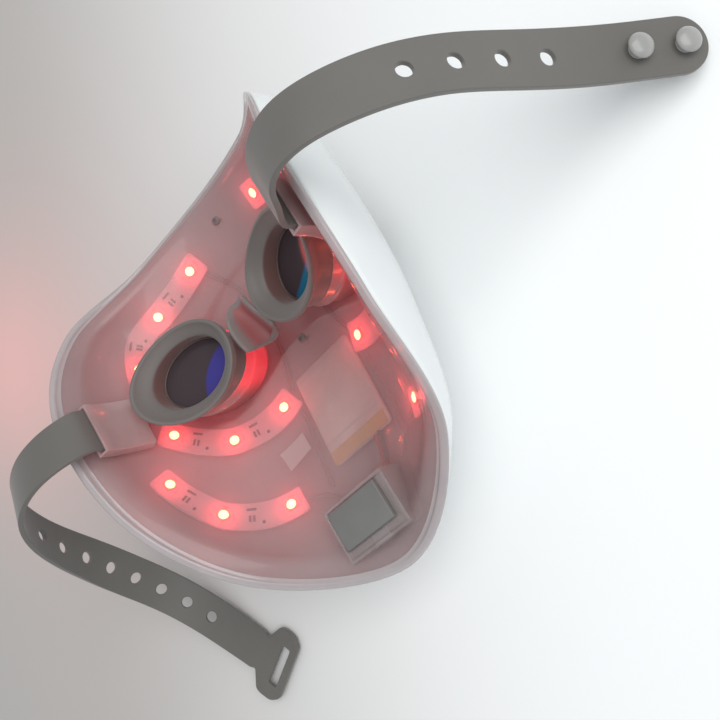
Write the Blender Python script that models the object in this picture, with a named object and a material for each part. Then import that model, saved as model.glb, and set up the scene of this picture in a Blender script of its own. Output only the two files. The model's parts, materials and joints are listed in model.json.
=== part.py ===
"""LED face mask: two moulded shells with light boards between them, goggles and silicone straps.

The mask lies on its front. In the mask's own frame X points to the wearer's right, Y to the forehead
and Z to the wearer; lengths below are millimetres in that frame, and the objects are in metres.
The outer shell is a bowl: rays run from its lowest point to the rim, and every other piece is placed
on the bowl by its x and y and by its depth, which is measured from the outer face towards the wearer.
"""

import math

import bmesh
import bpy
import numpy as np
from mathutils import Matrix, Vector

MM = 0.001
GAP = 0.3

# Where the mask's own origin stands in the finished part, so that the whole stands on its middle.
MASK_PLACE = (-21.79, 9.88, 0.0)

# Outer bowl: rim stations from the forehead round the wearer's right side to the chin.
RIM_STATIONS = [
    (0, 99, 16),
    (47, 87, 35),
    (76, 68, 68),
    (83.5, 25, 88),
    (78, -33, 81),
    (57, -80, 51),
    (0, -106, 30),
]
WRAP_ANGLES = [50, 72, 98, 102, 98, 82, 62]
BOWL_Y = 5.0
BOWL_SEGMENTS = 48

# Depths through the wall, from the outer face towards the wearer.
SHELL_INSIDE = 2.0
PAD_DEPTHS = (3.0, 5.6)
BOARD_DEPTHS = (6.1, 7.0)
LED_DEPTH = 7.5
LED_HEIGHT = 1.4
LINER_BACK = 9.6
LINER_FRONT = 10.6
FLANGE_DEPTH = 3.4

# Light boards: the places of their three lights, on the wearer's right.
LED_SIZE = 5.0
BOARD_WIDTH = 14.0
PAD_INSET = 4.0
BOARD_OVERHANG = 7.2
BOARD_STEP = 5.0
LED_PLACES = {
    "forehead": [(30.5, 74), (56, 66), (76, 43)],
    "cheek": [(30, -13), (57, -13.5), (75, 3)],
    "jaw": [(45, -57), (68.5, -45), (79, -20.5)],
}

# Eye cups: elliptical rings between the lip and the foot.
CUP_LIP = np.array([35.5, 17.0, 53.0])
CUP_FOOT = np.array([42.5, 19.0, 18.5])
CUP_LIP_TILT = 22.6
CUP_FOOT_TILT = 25.0
CUP_ROLL = -8.0
CUP_SADDLE = 1.4
CUP_SEGMENTS = 32
EYE_WINDOW_PLACE = (43.0, 19.0)
EYE_WINDOW_RADII = (15.0, 11.0)
LINER_OPENING_PLACE = (41.0, 18.6)
LINER_OPENING_RADII = (22.4, 19.2)

# Straps.
STRAP_WIDTH = 20.5
STRAP_THICKNESS = 2.2
STRAP_HOLE_RADIUS = 3.3
POCKET_Y = 12.0
POCKET_WIDTH = 25.0
POCKET_DEPTHS = (12.0, 17.6)
POCKET_WALL = 1.3
STRAP_DEPTHS = (13.7, 15.9)
POCKET_REACHES = (0.71, 0.76, 0.81, 0.87, 0.93, 0.985)
ANCHOR_REACHES = (0.79, 0.83, 0.88, 0.93, 0.975)
STRAP_REACH = 0.993
ROOT_LENGTH = 4.0
LEFT_HOLES = [79 + 15.1 * k for k in range(8)]
RIGHT_HOLES = [82 + 17.2 * k for k in range(4)]
STUD_LENGTHS = [167.0, 184.2]
BUCKLE_WIDTH = 38.0
BUCKLE_LENGTH = 18.0
BUCKLE_SPREAD = 5.0
BUCKLE_TRIM = (4.0, 7.0)
BUCKLE_STEP = 1.7
SLOT_SIZE = (22.0, 5.6)
SLOT_BACK = 6.6

# Routes after the pocket: points on the strap's middle line, and the direction across the strap there.
LEFT_ROUTE = [
    ((-74, 11.5, 95.5), (-0.06, 0.99, -0.05)),
    ((-81, 10.3, 101), (-0.12, 0.99, -0.10)),
    ((-90, 9, 104.6), (-0.18, 0.97, -0.15)),
    ((-101, 6.6, 105.6), (-0.19, 0.95, -0.22)),
    ((-114, 3, 102), (-0.18, 0.94, -0.29)),
    ((-126, -3, 91), (-0.09, 0.93, -0.37)),
    ((-135, -10, 76), (0.04, 0.89, -0.45)),
    ((-141, -17, 61), (0.24, 0.83, -0.51)),
    ((-145, -26, 46), (0.50, 0.69, -0.52)),
    ((-147, -36.5, 31), (0.69, 0.56, -0.46)),
    ((-145, -49.5, 19), (0.76, 0.50, -0.41)),
    ((-140, -64.5, 11), (0.81, 0.47, -0.35)),
    ((-133, -80, 6.4), (0.84, 0.46, -0.27)),
    ((-124, -97, 3.8), (0.88, 0.46, -0.12)),
    ((-115.6, -112.6, 3), (0.89, 0.46, -0.03)),
]
RIGHT_ROUTE = [
    ((75, 12, 96.5), (-0.03, 0.99, -0.03)),
    ((80.5, 12.6, 103.5), (0.03, 0.99, -0.10)),
    ((89, 12.6, 108), (0.08, 0.99, -0.13)),
    ((100, 11.8, 108.3), (0.10, 0.99, -0.10)),
    ((113, 9.7, 103), (0.14, 0.99, -0.06)),
    ((127, 7, 93), (0.18, 0.98, -0.04)),
    ((139, 4, 79.6), (0.24, 0.97, -0.04)),
    ((148, 1, 64.8), (0.31, 0.95, -0.02)),
    ((157, -2.8, 49.5), (0.37, 0.93, -0.01)),
    ((167, -7.2, 34.8), (0.41, 0.91, 0.0)),
    ((178, -12.2, 21.5), (0.42, 0.91, -0.01)),
    ((196.6, -21.3, 3.0), (0.42, 0.91, -0.01)),
]

# Control box under the chin, and the button behind it.
BOX_CENTRE_Y = -82.4
BOX_FOOT = (36.6, 25.2)
BOX_TOP = (35.6, 24.2)
BOX_FOOT_DEPTH = 3.2
BOX_TOP_Z = 40.4
BOX_WALL = 1.6
SHELF_Z = (38.0, 39.2)
SHELF_OPENING = (24.0, 11.0)
LID_SIZE = (28.8, 17.4)
LID_PLACE = (-1.4, BOX_CENTRE_Y + 1.5)
LID_TOP_Z = 41.3
LID_SLOPE = 0.8
SOCKET_Y = BOX_CENTRE_Y - 7.6
SOCKET_Z = (34.6, 37.5)
SOCKET_SLOT_Y = BOX_CENTRE_Y - 11.5
SOCKET_SLOT_Z = (34.3, 37.8)
BUTTON_Y = -80.5
BUTTON_RADIUS = 5.0
SCREW_PLACES = {"screw_forehead": 83.0, "screw_philtrum": 7.5}
SCREW_LIFT = 0.8

# Battery pouch and its lead.
BATTERY_CENTRE = (0.0, -28.2)
BATTERY_SIZE = (37.5, 48.0, 2.8)
BATTERY_PITCH = -8.0
BATTERY_Z = 9.6
LEAD_X = 8.0
LEAD_Y = (-54.5, -57.5, -60.5, -63.5)
LEAD_DEPTH = 6.2
LEAD_RADIUS = 0.9

COLOURS = {
    "shell_white": ((0.86, 0.88, 0.90), 0.22, 0.0),
    "liner_clear": ((0.70, 0.58, 0.58), 0.30, 0.0),
    "board_white": ((0.85, 0.70, 0.70), 0.45, 0.0),
    "foam": ((0.80, 0.78, 0.76), 0.90, 0.0),
    "led": ((1.00, 0.25, 0.15), 0.40, 0.0),
    "silicone_grey": ((0.20, 0.19, 0.18), 0.55, 0.0),
    "lens_dark": ((0.03, 0.04, 0.09), 0.08, 0.0),
    "ring_grey": ((0.26, 0.22, 0.21), 0.50, 0.0),
    "window_dark": ((0.03, 0.03, 0.04), 0.10, 0.0),
    "battery_foil": ((0.75, 0.62, 0.58), 0.40, 0.2),
    "wire_red": ((0.50, 0.06, 0.05), 0.50, 0.0),
    "circuit": ((0.10, 0.22, 0.14), 0.45, 0.0),
    "box_clear": ((0.62, 0.56, 0.56), 0.30, 0.0),
    "steel": ((0.60, 0.60, 0.62), 0.30, 1.0),
    "switch_black": ((0.04, 0.04, 0.04), 0.50, 0.0),
    "stud_pale": ((0.55, 0.55, 0.54), 0.40, 0.0),
}


# ---------------------------------------------------------------- scene and materials

def clear_scene():
    for thing in list(bpy.data.objects):
        bpy.data.objects.remove(thing, do_unlink=True)


def material(name):
    made = bpy.data.materials.get(name)
    if made is None:
        colour, roughness, metallic = COLOURS[name]
        made = bpy.data.materials.new(name)
        made.use_nodes = True
        shader = made.node_tree.nodes["Principled BSDF"]
        shader.inputs["Base Color"].default_value = (*colour, 1.0)
        shader.inputs["Roughness"].default_value = roughness
        shader.inputs["Metallic"].default_value = metallic
    return made


def add_object(name, vertices, faces, colour, place=(0, 0, 0), rotation=None, smooth=True):
    """Add one closed piece. Vertices are in millimetres about place, in the mask's frame."""
    vertices = np.asarray(vertices, float) * MM
    mesh = bpy.data.meshes.new(name)
    mesh.from_pydata([tuple(v) for v in vertices], [], [tuple(f) for f in faces])
    shape = bmesh.new()
    shape.from_mesh(mesh)
    if shape.calc_volume(signed=True) < 0:
        bmesh.ops.reverse_faces(shape, faces=shape.faces)
    shape.to_mesh(mesh)
    shape.free()
    if smooth:
        mesh.shade_smooth()
        mesh.set_sharp_from_angle(angle=math.radians(40))
    mesh.materials.append(material(colour))
    piece = bpy.data.objects.new(name, mesh)
    bpy.context.collection.objects.link(piece)
    piece.parent = MASK
    piece.location = Vector(place) * MM
    if rotation is not None:
        piece.rotation_euler = rotation.to_euler()
    return piece


def add_empty(name, place):
    empty = bpy.data.objects.new(name, None)
    bpy.context.collection.objects.link(empty)
    empty.location = Vector(place) * MM
    return empty


def boolean(piece, cutter, operation="DIFFERENCE"):
    cutter.hide_render = True
    cutter.display_type = "WIRE"
    modifier = piece.modifiers.new(cutter.name, "BOOLEAN")
    modifier.operation = operation
    modifier.object = cutter
    modifier.solver = "EXACT"


# ---------------------------------------------------------------- the bowl

def around(half, mirror_x):
    """Turn stations from forehead to chin into a closed ring, with the wearer's left side added."""
    half = np.asarray(half, float)
    other = half[-2:0:-1].copy()
    if mirror_x:
        other[:, 0] *= -1
    return np.vstack([half, other])


def curve_at(points, where):
    """Catmull-Rom curve through a closed ring of points."""
    where = np.asarray(where, float) % len(points)
    index = np.floor(where).astype(int)
    u = (where - index)[..., None]
    a, b, c, d = (points[(index + k) % len(points)] for k in (-1, 0, 1, 2))
    straight = 2 * b + (c - a) * u
    return 0.5 * (straight + (2 * a - 5 * b + 4 * c - d) * u**2 + (3 * b - a - 3 * c + d) * u**3)


RIM = around(RIM_STATIONS, True)
WRAP = around([[angle] for angle in WRAP_ANGLES], False)
TURN = len(RIM)


def outer_point(station, reach):
    """Point of the outer face: reach runs from 0 at the lowest point to 1 at the rim."""
    rim = curve_at(RIM, station)
    wrap = np.radians(curve_at(WRAP, station))[..., 0]
    out = np.sin(wrap * reach) / np.sin(wrap)
    up = (1 - np.cos(wrap * reach)) / (1 - np.cos(wrap))
    return np.stack([rim[..., 0] * out, BOWL_Y + (rim[..., 1] - BOWL_Y) * out, rim[..., 2] * up], -1)


def inward(station, reach):
    """Unit normal of the outer face, pointing to the wearer."""
    step = 1e-3
    reach = np.maximum(reach, 2 * step)
    along = outer_point(station + step, reach) - outer_point(station - step, reach)
    out = outer_point(station, reach + step) - outer_point(station, reach - step)
    normal = np.cross(out, along)
    normal /= np.linalg.norm(normal, axis=-1, keepdims=True)
    return -normal


def wall_point(station, reach, depth):
    return outer_point(station, reach) + inward(station, reach) * np.asarray(depth)[..., None]


def locate(x, y):
    """Station and reach of the bowl's point over x and y."""
    stations = np.linspace(0, TURN, 1201)
    ring = outer_point(stations, np.ones_like(stations))
    angles = np.unwrap(np.arctan2(ring[:, 0], ring[:, 1] - BOWL_Y))
    angle = math.atan2(x, y - BOWL_Y) % (2 * math.pi)
    station = float(np.interp(angle, angles, stations))
    rim = curve_at(RIM, station)
    wrap = math.radians(float(curve_at(WRAP, station)[0]))
    part = math.hypot(x, y - BOWL_Y) / math.hypot(rim[0], rim[1] - BOWL_Y)
    return station, math.asin(min(1.0, part * math.sin(wrap))) / wrap


def wall_at(x, y, depth):
    station, reach = locate(x, y)
    return wall_point(np.array(station), np.array(reach), np.array(float(depth)))


def height_over(x, y, depth):
    """Height of the given depth's surface over x and y, for gentle slopes."""
    station, reach = (np.array(value) for value in locate(x, y))
    return outer_point(station, reach)[2] + depth / inward(station, reach)[2]


def normal_at(x, y):
    station, reach = locate(x, y)
    return inward(np.array(station), np.array(reach))


def bowl_solid(profile):
    """Close a bowl wall whose section is a list of (reach, depth), starting and ending on the middle."""
    stations = np.arange(BOWL_SEGMENTS) * TURN / BOWL_SEGMENTS
    first, last = profile[0], profile[-1]
    vertices = [wall_point(np.array(0.0), np.array(0.0), np.array(first[1]))]
    for reach, depth in profile[1:-1]:
        ring = wall_point(stations, np.full(BOWL_SEGMENTS, reach), np.full(BOWL_SEGMENTS, depth))
        vertices.extend(ring)
    vertices.append(wall_point(np.array(0.0), np.array(0.0), np.array(last[1])))
    faces = []
    rings = len(profile) - 2
    for k in range(BOWL_SEGMENTS):
        n = (k + 1) % BOWL_SEGMENTS
        faces.append((0, 1 + k, 1 + n))
        for ring in range(rings - 1):
            low = 1 + ring * BOWL_SEGMENTS
            high = low + BOWL_SEGMENTS
            faces.append((low + k, high + k, high + n, low + n))
        low = 1 + (rings - 1) * BOWL_SEGMENTS
        faces.append((low + k, len(vertices) - 1, low + n))
    return vertices, faces


# ---------------------------------------------------------------- general solids

def loft(rings, closed=False):
    """Skin through rings of equal length. A closed loft joins its last ring to its first."""
    count = len(rings[0])
    vertices = np.concatenate(rings)
    faces = []
    spans = len(rings) if closed else len(rings) - 1
    for ring in range(spans):
        low = ring * count
        high = ((ring + 1) % len(rings)) * count
        for k in range(count):
            n = (k + 1) % count
            faces.append((low + k, low + n, high + n, high + k))
    if not closed:
        faces.append(tuple(reversed(range(count))))
        faces.append(tuple(range(len(vertices) - count, len(vertices))))
    return vertices, faces


def rectangle(centre, across, up, width, height):
    """Four corners about centre, in the plane of two unit directions."""
    return np.array([
        centre + across * (a * width / 2) + up * (b * height / 2)
        for a, b in ((-1, -1), (1, -1), (1, 1), (-1, 1))
    ])


def slab(width, length, z_low, z_high, top_width=None, top_length=None):
    """Box about the Z axis, tapered when the top differs from the foot."""
    low = rectangle(np.array([0, 0, z_low]), np.array([1.0, 0, 0]), np.array([0, 1.0, 0]), width, length)
    high = rectangle(
        np.array([0, 0, z_high]), np.array([1.0, 0, 0]), np.array([0, 1.0, 0]),
        top_width or width, top_length or length,
    )
    return loft([low, high])


def turned(profile, segments):
    """Solid turned about the Z axis from (radius, z) pairs, listed from the bottom to the top."""
    angles = np.arange(segments) * 2 * math.pi / segments
    rings = [
        np.stack([r * np.cos(angles), r * np.sin(angles), np.full(segments, z)], -1)
        for r, z in profile
    ]
    return loft(rings)


def axis_rotation(z_axis, x_hint=(1, 0, 0)):
    """Rotation whose Z is the given direction and whose X lies near the hint."""
    z = Vector(z_axis).normalized()
    y = z.cross(Vector(x_hint)).normalized()
    x = y.cross(z)
    return Matrix((x, y, z)).transposed()


def sides():
    """The two sides of the mask: name and sign of x."""
    return (("right", 1.0), ("left", -1.0))


# ---------------------------------------------------------------- shells

def eye_cutter(name, side, radii, z_low, z_high, place=EYE_WINDOW_PLACE):
    angles = np.arange(CUP_SEGMENTS) * 2 * math.pi / CUP_SEGMENTS
    rings = [
        np.stack([
            side * place[0] + radii[0] * np.cos(angles),
            place[1] + radii[1] * np.sin(angles),
            np.full(CUP_SEGMENTS, z),
        ], -1)
        for z in (z_low, z_high)
    ]
    vertices, faces = loft(rings)
    return add_object(name, vertices, faces, "steel")


def shell_profile():
    reaches = [0, 0.12, 0.26, 0.40, 0.54, 0.68, 0.82, 0.93, 1.0]
    return [(r, 0.0) for r in reaches] + [(r, SHELL_INSIDE) for r in reversed(reaches)]


def build_outer_shell():
    vertices, faces = bowl_solid(shell_profile())
    shell = add_object("outer_shell", vertices, faces, "shell_white")
    for name, side in sides():
        boolean(shell, eye_cutter("cut_eye_" + name, side, EYE_WINDOW_RADII, -20, 60))
    hole = turned([(BUTTON_RADIUS + GAP, -15), (BUTTON_RADIUS + GAP, 15)], 20)
    cutter = add_object("cut_button", *hole, "steel", button_place(), button_rotation())
    boolean(shell, cutter)


def build_eye_windows():
    for name, side in sides():
        vertices, faces = bowl_solid(shell_profile())
        window = add_object("eye_window_" + name, vertices, faces, "window_dark")
        radii = tuple(radius - GAP for radius in EYE_WINDOW_RADII)
        boolean(window, eye_cutter("keep_window_" + name, side, radii, -20, 60), "INTERSECT")


def build_inner_liner():
    front = [(r, LINER_FRONT) for r in (0, 0.12, 0.26, 0.40, 0.54, 0.68, 0.80, 0.90)]
    front += [(0.93, 10.2), (0.96, 9.0), (0.985, 6.8), (1.0, FLANGE_DEPTH), (1.018, FLANGE_DEPTH)]
    edge = [(1.018, 0.0), (1.006, 0.0), (1.006, 2.3), (0.99, 3.6), (0.955, 7.4)]
    back = [(r, LINER_BACK) for r in (0.90, 0.80, 0.68, 0.54, 0.40, 0.26, 0.12, 0)]
    vertices, faces = bowl_solid(front + edge + back)
    liner = add_object("inner_liner", vertices, faces, "liner_clear")
    for name, side in sides():
        cutter = eye_cutter("cut_cup_" + name, side, LINER_OPENING_RADII, 0, 60, LINER_OPENING_PLACE)
        boolean(liner, cutter)


# ---------------------------------------------------------------- light boards

def wall_stop(stop, depth):
    return wall_point(np.array(stop[0]), np.array(stop[1]), np.array(float(depth)))


def beyond(stop, before, distance):
    """Stop a distance past another on the wall, going straight on from the one before it."""
    step = (stop - before) * 1e-3
    speed = np.linalg.norm(wall_stop(stop + step, 0.0) - wall_stop(stop, 0.0)) * 1e3
    return stop + (stop - before) * distance / speed


def board_path(lights):
    """Centre line of a board in station and reach: through its lights, and a little past the end ones."""
    stops = [np.array(locate(*light)) for light in lights]
    corners = [beyond(stops[0], stops[1], BOARD_OVERHANG), *stops, beyond(stops[2], stops[1], BOARD_OVERHANG)]
    path = []
    for start, end in zip(corners, corners[1:]):
        distance = float(np.linalg.norm(wall_stop(end, 0.0) - wall_stop(start, 0.0)))
        steps = max(2, round(distance / BOARD_STEP))
        path += [start + (end - start) * k / steps for k in range(steps)]
    return path + [corners[-1]]


def unit(vector):
    return vector / np.linalg.norm(vector)


def strip_on_wall(path, width, depths):
    """Plate of the given width that follows the wall between two depths, across as well as along."""
    step = 1e-3
    rings = []
    for k, stop in enumerate(path):
        ahead = (path[min(k + 1, len(path) - 1)] - path[max(k - 1, 0)]) * step
        along = wall_stop(stop + ahead, 0.0) - wall_stop(stop - ahead, 0.0)
        normal = inward(np.array(stop[0]), np.array(stop[1]))
        across = unit(np.cross(normal, along)) * width / 2
        slopes = np.stack([
            (wall_stop(stop + shift, 0.0) - wall_stop(stop - shift, 0.0)) / (2 * step)
            for shift in (np.array([step, 0.0]), np.array([0.0, step]))
        ], axis=1)
        sideways = np.linalg.lstsq(slopes, across, rcond=None)[0]
        places = [stop + sideways * u for u in (-1, 0, 1)]
        low = [wall_stop(place, depths[0]) for place in places]
        high = [wall_stop(place, depths[1]) for place in reversed(places)]
        rings.append(np.array(low + high))
    return loft(rings)


def build_light_boards():
    for region, lights in LED_PLACES.items():
        for name, side in sides():
            places = [(side * x, y) for x, y in lights]
            path = board_path(places)
            board = strip_on_wall(path, BOARD_WIDTH, BOARD_DEPTHS)
            add_object(f"led_board_{region}_{name}", *board, "board_white", smooth=False)
            pad = strip_on_wall(path[1:-1], BOARD_WIDTH - PAD_INSET, PAD_DEPTHS)
            add_object(f"led_pad_{region}_{name}", *pad, "foam", smooth=False)
            for number, (x, y) in enumerate(places, 1):
                body = slab(LED_SIZE, LED_SIZE, 0, LED_HEIGHT, LED_SIZE - 0.4, LED_SIZE - 0.4)
                turn = axis_rotation(normal_at(x, y))
                place = wall_at(x, y, LED_DEPTH)
                add_object(f"led_{region}_{name}_{number}", *body, "led", place, turn, smooth=False)


# ---------------------------------------------------------------- goggles

def cup_ring(side, level, radius_x, radius_y):
    """Tilted elliptical ring: level is 0 at the lip and 1 at the foot."""
    centre = CUP_LIP + (CUP_FOOT - CUP_LIP) * level
    tilt = math.radians(CUP_LIP_TILT + (CUP_FOOT_TILT - CUP_LIP_TILT) * level)
    saddle = CUP_SADDLE * max(0.0, 1 - 3 * level)
    roll = math.radians(CUP_ROLL)
    angles = np.arange(CUP_SEGMENTS) * 2 * math.pi / CUP_SEGMENTS
    long = radius_x * np.cos(angles)
    short = radius_y * np.sin(angles)
    x = long * math.cos(roll) - short * math.sin(roll)
    y = long * math.sin(roll) + short * math.cos(roll)
    z = x * math.tan(tilt) + saddle * (x**2 - y**2) / 400
    return np.stack([side * (centre[0] + x), centre[1] + y, centre[2] + z], -1)


def cup_solid(side, section):
    return loft([cup_ring(side, *corner) for corner in section], closed=True)


def build_goggles():
    cup = [
        (0.00, 25.0, 21.6), (0.06, 25.2, 21.8), (0.17, 22.4, 19.0), (0.27, 20.9, 17.9), (0.45, 20.9, 17.9),
        (0.45, 19.0, 16.0), (0.37, 19.0, 16.0), (0.36, 17.8, 14.9), (0.14, 17.6, 14.7), (0.07, 20.4, 17.2),
    ]
    lens = [(0.382, 18.6, 15.6), (0.444, 18.6, 15.6)]
    ring = [
        (0.46, 20.9, 17.9), (0.62, 20.9, 17.9), (0.64, 21.7, 18.7), (0.70, 21.7, 18.7), (0.72, 20.9, 17.9),
        (1.0, 20.9, 17.9), (1.0, 18.4, 15.4), (0.46, 18.0, 15.0),
    ]
    for name, side in sides():
        add_object("eye_cup_" + name, *cup_solid(side, cup), "silicone_grey")
        add_object("lens_" + name, *loft([cup_ring(side, *corner) for corner in lens]), "lens_dark")
        add_object("lens_ring_" + name, *cup_solid(side, ring), "ring_grey")


def build_nose_bridge():
    """Saddle between the cups: a trough whose wings rise beside the nose."""
    sections = [
        (29.0, 5.0, 45.5, 40.5),
        (24.0, 6.0, 45.5, 38.0),
        (18.0, 7.6, 44.6, 34.5),
        (12.0, 9.0, 42.5, 31.0),
        (7.0, 9.6, 39.5, 28.5),
    ]
    thickness = 1.6
    rings = []
    for y, half, wing_z, valley_z in sections:
        inside = [(-half, wing_z), (-half * 0.62, (wing_z + valley_z) / 2), (0, valley_z),
                  (half * 0.62, (wing_z + valley_z) / 2), (half, wing_z)]
        outside = [(x * (1 + thickness / half), z - thickness * (1 - abs(x) / half)) for x, z in inside]
        ring = inside + outside[::-1]
        rings.append(np.array([(x, y, z) for x, z in ring]))
    add_object("nose_bridge", *loft(rings), "silicone_grey")


# ---------------------------------------------------------------- power and control

def build_battery():
    pitch = Matrix.Rotation(math.radians(BATTERY_PITCH), 3, "X")
    place = (*BATTERY_CENTRE, BATTERY_Z)
    width, length, thickness = BATTERY_SIZE
    pouch = slab(width, length, -thickness / 2, thickness / 2, width - 0.8, length - 0.8)
    add_object("battery", *pouch, "battery_foil", place, pitch, smooth=False)
    wire = [wall_at(LEAD_X, y, LEAD_DEPTH) for y in LEAD_Y]
    angles = np.arange(8) * math.pi / 4
    rings = []
    for k, point in enumerate(wire):
        along = unit(wire[min(k + 1, len(wire) - 1)] - wire[max(k - 1, 0)])
        up = unit(np.cross(along, [1.0, 0, 0]))
        rings.append(np.array([
            point + LEAD_RADIUS * (math.cos(a) * np.array([1.0, 0, 0]) + math.sin(a) * up)
            for a in angles
        ]))
    add_object("battery_lead", *loft(rings), "wire_red")


def button_place():
    return tuple(outer_point(*(np.array(v) for v in locate(0.0, BUTTON_Y))))


def button_rotation():
    return axis_rotation(normal_at(0.0, BUTTON_Y))


def build_controls():
    centre = (0, BOX_CENTRE_Y, 0)
    foot_width, foot_length = BOX_FOOT
    top_width, top_length = BOX_TOP
    x_axis, y_axis = np.array([1.0, 0, 0]), np.array([0, 1.0, 0])

    def level(z, width, length, shift=(0.0, 0.0)):
        return rectangle(np.array([*shift, z]), x_axis, y_axis, width, length)

    def foot(inset):
        """Foot outline that follows the outer shell, with a small clear gap above it."""
        corners = level(0, foot_width - 2 * inset, foot_length - 2 * inset)
        for corner in corners:
            corner[2] = height_over(corner[0], corner[1] + BOX_CENTRE_Y, BOX_FOOT_DEPTH)
        return corners

    # From the foot up the outside, over the rim, across the shelf, and down the inside.
    shelf_low, shelf_high = SHELF_Z
    shift = (LID_PLACE[0], LID_PLACE[1] - BOX_CENTRE_Y)
    rings = [
        foot(0.0),
        level(BOX_TOP_Z, top_width, top_length),
        level(BOX_TOP_Z, top_width - 2 * BOX_WALL, top_length - 2 * BOX_WALL),
        level(shelf_high, top_width - 2 * BOX_WALL, top_length - 2 * BOX_WALL),
        level(shelf_high, *SHELF_OPENING, shift),
        level(shelf_low, *SHELF_OPENING, shift),
        level(shelf_low, top_width - 2 * BOX_WALL, top_length - 2 * BOX_WALL),
        foot(BOX_WALL),
    ]
    box = add_object("control_box", *loft(rings, closed=True), "box_clear", centre, smooth=False)
    slot = slab(9.6, 8.0, *SOCKET_SLOT_Z)
    boolean(box, add_object("cut_usb", *slot, "steel", (0, SOCKET_SLOT_Y, 0)))
    opening = slab(foot_width + 2 * GAP, foot_length + 2 * GAP, 0, 60)
    boolean(bpy.data.objects["inner_liner"], add_object("cut_box", *opening, "steel", centre))

    width, length = LID_SIZE
    lid = slab(width, length, shelf_high + GAP, LID_TOP_Z, width - LID_SLOPE, length - LID_SLOPE)
    add_object("control_lid", *lid, "silicone_grey", (*LID_PLACE, 0), smooth=False)
    board = slab(24.0, 13.0, 32.0, 33.2)
    add_object("control_board", *board, "circuit", centre, smooth=False)
    socket = slab(9.0, 6.4, *SOCKET_Z)
    add_object("usb_socket", *socket, "steel", (0, SOCKET_Y, 0), smooth=False)

    place, turn = button_place(), button_rotation()
    button = turned([
        (BUTTON_RADIUS - 0.8, -1.4), (BUTTON_RADIUS, -0.8), (BUTTON_RADIUS, 3.1),
        (BUTTON_RADIUS + 1.0, 3.11), (BUTTON_RADIUS + 1.0, 3.8),
    ], 20)
    add_object("power_button", *button, "stud_pale", place, turn)
    switch = slab(6.0, 6.0, 5.0, 7.4)
    add_object("tact_switch", *switch, "switch_black", place, turn, smooth=False)


def build_screws():
    for name, y in SCREW_PLACES.items():
        head = turned([(1.1, -6.5), (1.1, 0.01), (2.4, 0.02), (2.4, 0.9), (1.8, 1.3)], 16)
        place = wall_at(0.0, y, LINER_FRONT + SCREW_LIFT)
        add_object(name, *head, "steel", place, axis_rotation(normal_at(0.0, y)))
        hole = turned([(1.4, -3.0), (1.4, 3.0)], 16)
        cutter = add_object("cut_" + name, *hole, "steel", place, axis_rotation(normal_at(0.0, y)))
        boolean(bpy.data.objects["inner_liner"], cutter)


# ---------------------------------------------------------------- straps

def pocket_station():
    """Rim station beside the pocket, on the wearer's right."""
    stations = np.linspace(2.5, 4.0, 601)
    ring = outer_point(stations, np.full(601, 0.9))
    return float(stations[np.argmin(np.abs(ring[:, 1] - POCKET_Y))])


def wall_section(side, reach, depths, width):
    """Rectangle across the side wall: its width runs along the rim."""
    station = np.array(pocket_station())
    reach = np.array(float(reach))
    normal = inward(station, reach)
    along = unit(outer_point(station, reach + 0.01) - outer_point(station, reach - 0.01))
    across = unit(np.cross(normal, along))
    centre = outer_point(station, reach) + normal * (sum(depths) / 2)
    ring = rectangle(centre, across, normal, width, depths[1] - depths[0])
    ring[:, 0] *= side
    return ring


def build_pockets():
    low, high = POCKET_DEPTHS
    inner = (low + POCKET_WALL, high - POCKET_WALL)
    for name, side in sides():
        outside = [wall_section(side, reach, (low, high), POCKET_WIDTH) for reach in POCKET_REACHES]
        cavity = [
            wall_section(side, reach, inner, POCKET_WIDTH - 2 * POCKET_WALL)
            for reach in reversed(POCKET_REACHES[1:-1])
        ]
        mouth = wall_section(side, POCKET_REACHES[-1], inner, POCKET_WIDTH - 2 * POCKET_WALL)
        rings = outside + [mouth] + cavity
        add_object("strap_pocket_" + name, *loft(rings), "box_clear", smooth=False)
        anchor = [wall_section(side, reach, STRAP_DEPTHS, STRAP_WIDTH) for reach in ANCHOR_REACHES]
        add_object("strap_anchor_" + name, *loft(anchor), "silicone_grey", smooth=False)


def strap_root(side):
    """Middle of the strap where it leaves its pocket, its way out of the pocket and its width direction."""
    section = wall_section(side, STRAP_REACH, STRAP_DEPTHS, STRAP_WIDTH)
    before = wall_section(side, STRAP_REACH - 0.01, STRAP_DEPTHS, STRAP_WIDTH)
    centre = section.mean(axis=0)
    across = unit(section[0] - section[1])
    return centre, unit(centre - before.mean(axis=0)), across * math.copysign(1, across[1])


def open_curve(points, samples):
    """Catmull-Rom curve through open points, with samples between each pair."""
    points = np.asarray(points, float)
    padded = np.vstack([2 * points[0] - points[1], points, 2 * points[-1] - points[-2]])
    result = []
    for k in range(1, len(padded) - 2):
        a, b, c, d = padded[k - 1:k + 3]
        for u in np.arange(samples) / samples:
            result.append(0.5 * (2 * b + (c - a) * u + (2 * a - 5 * b + 4 * c - d) * u**2
                                 + (3 * b - a - 3 * c + d) * u**3))
    return np.array(result + [points[-1]])


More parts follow.
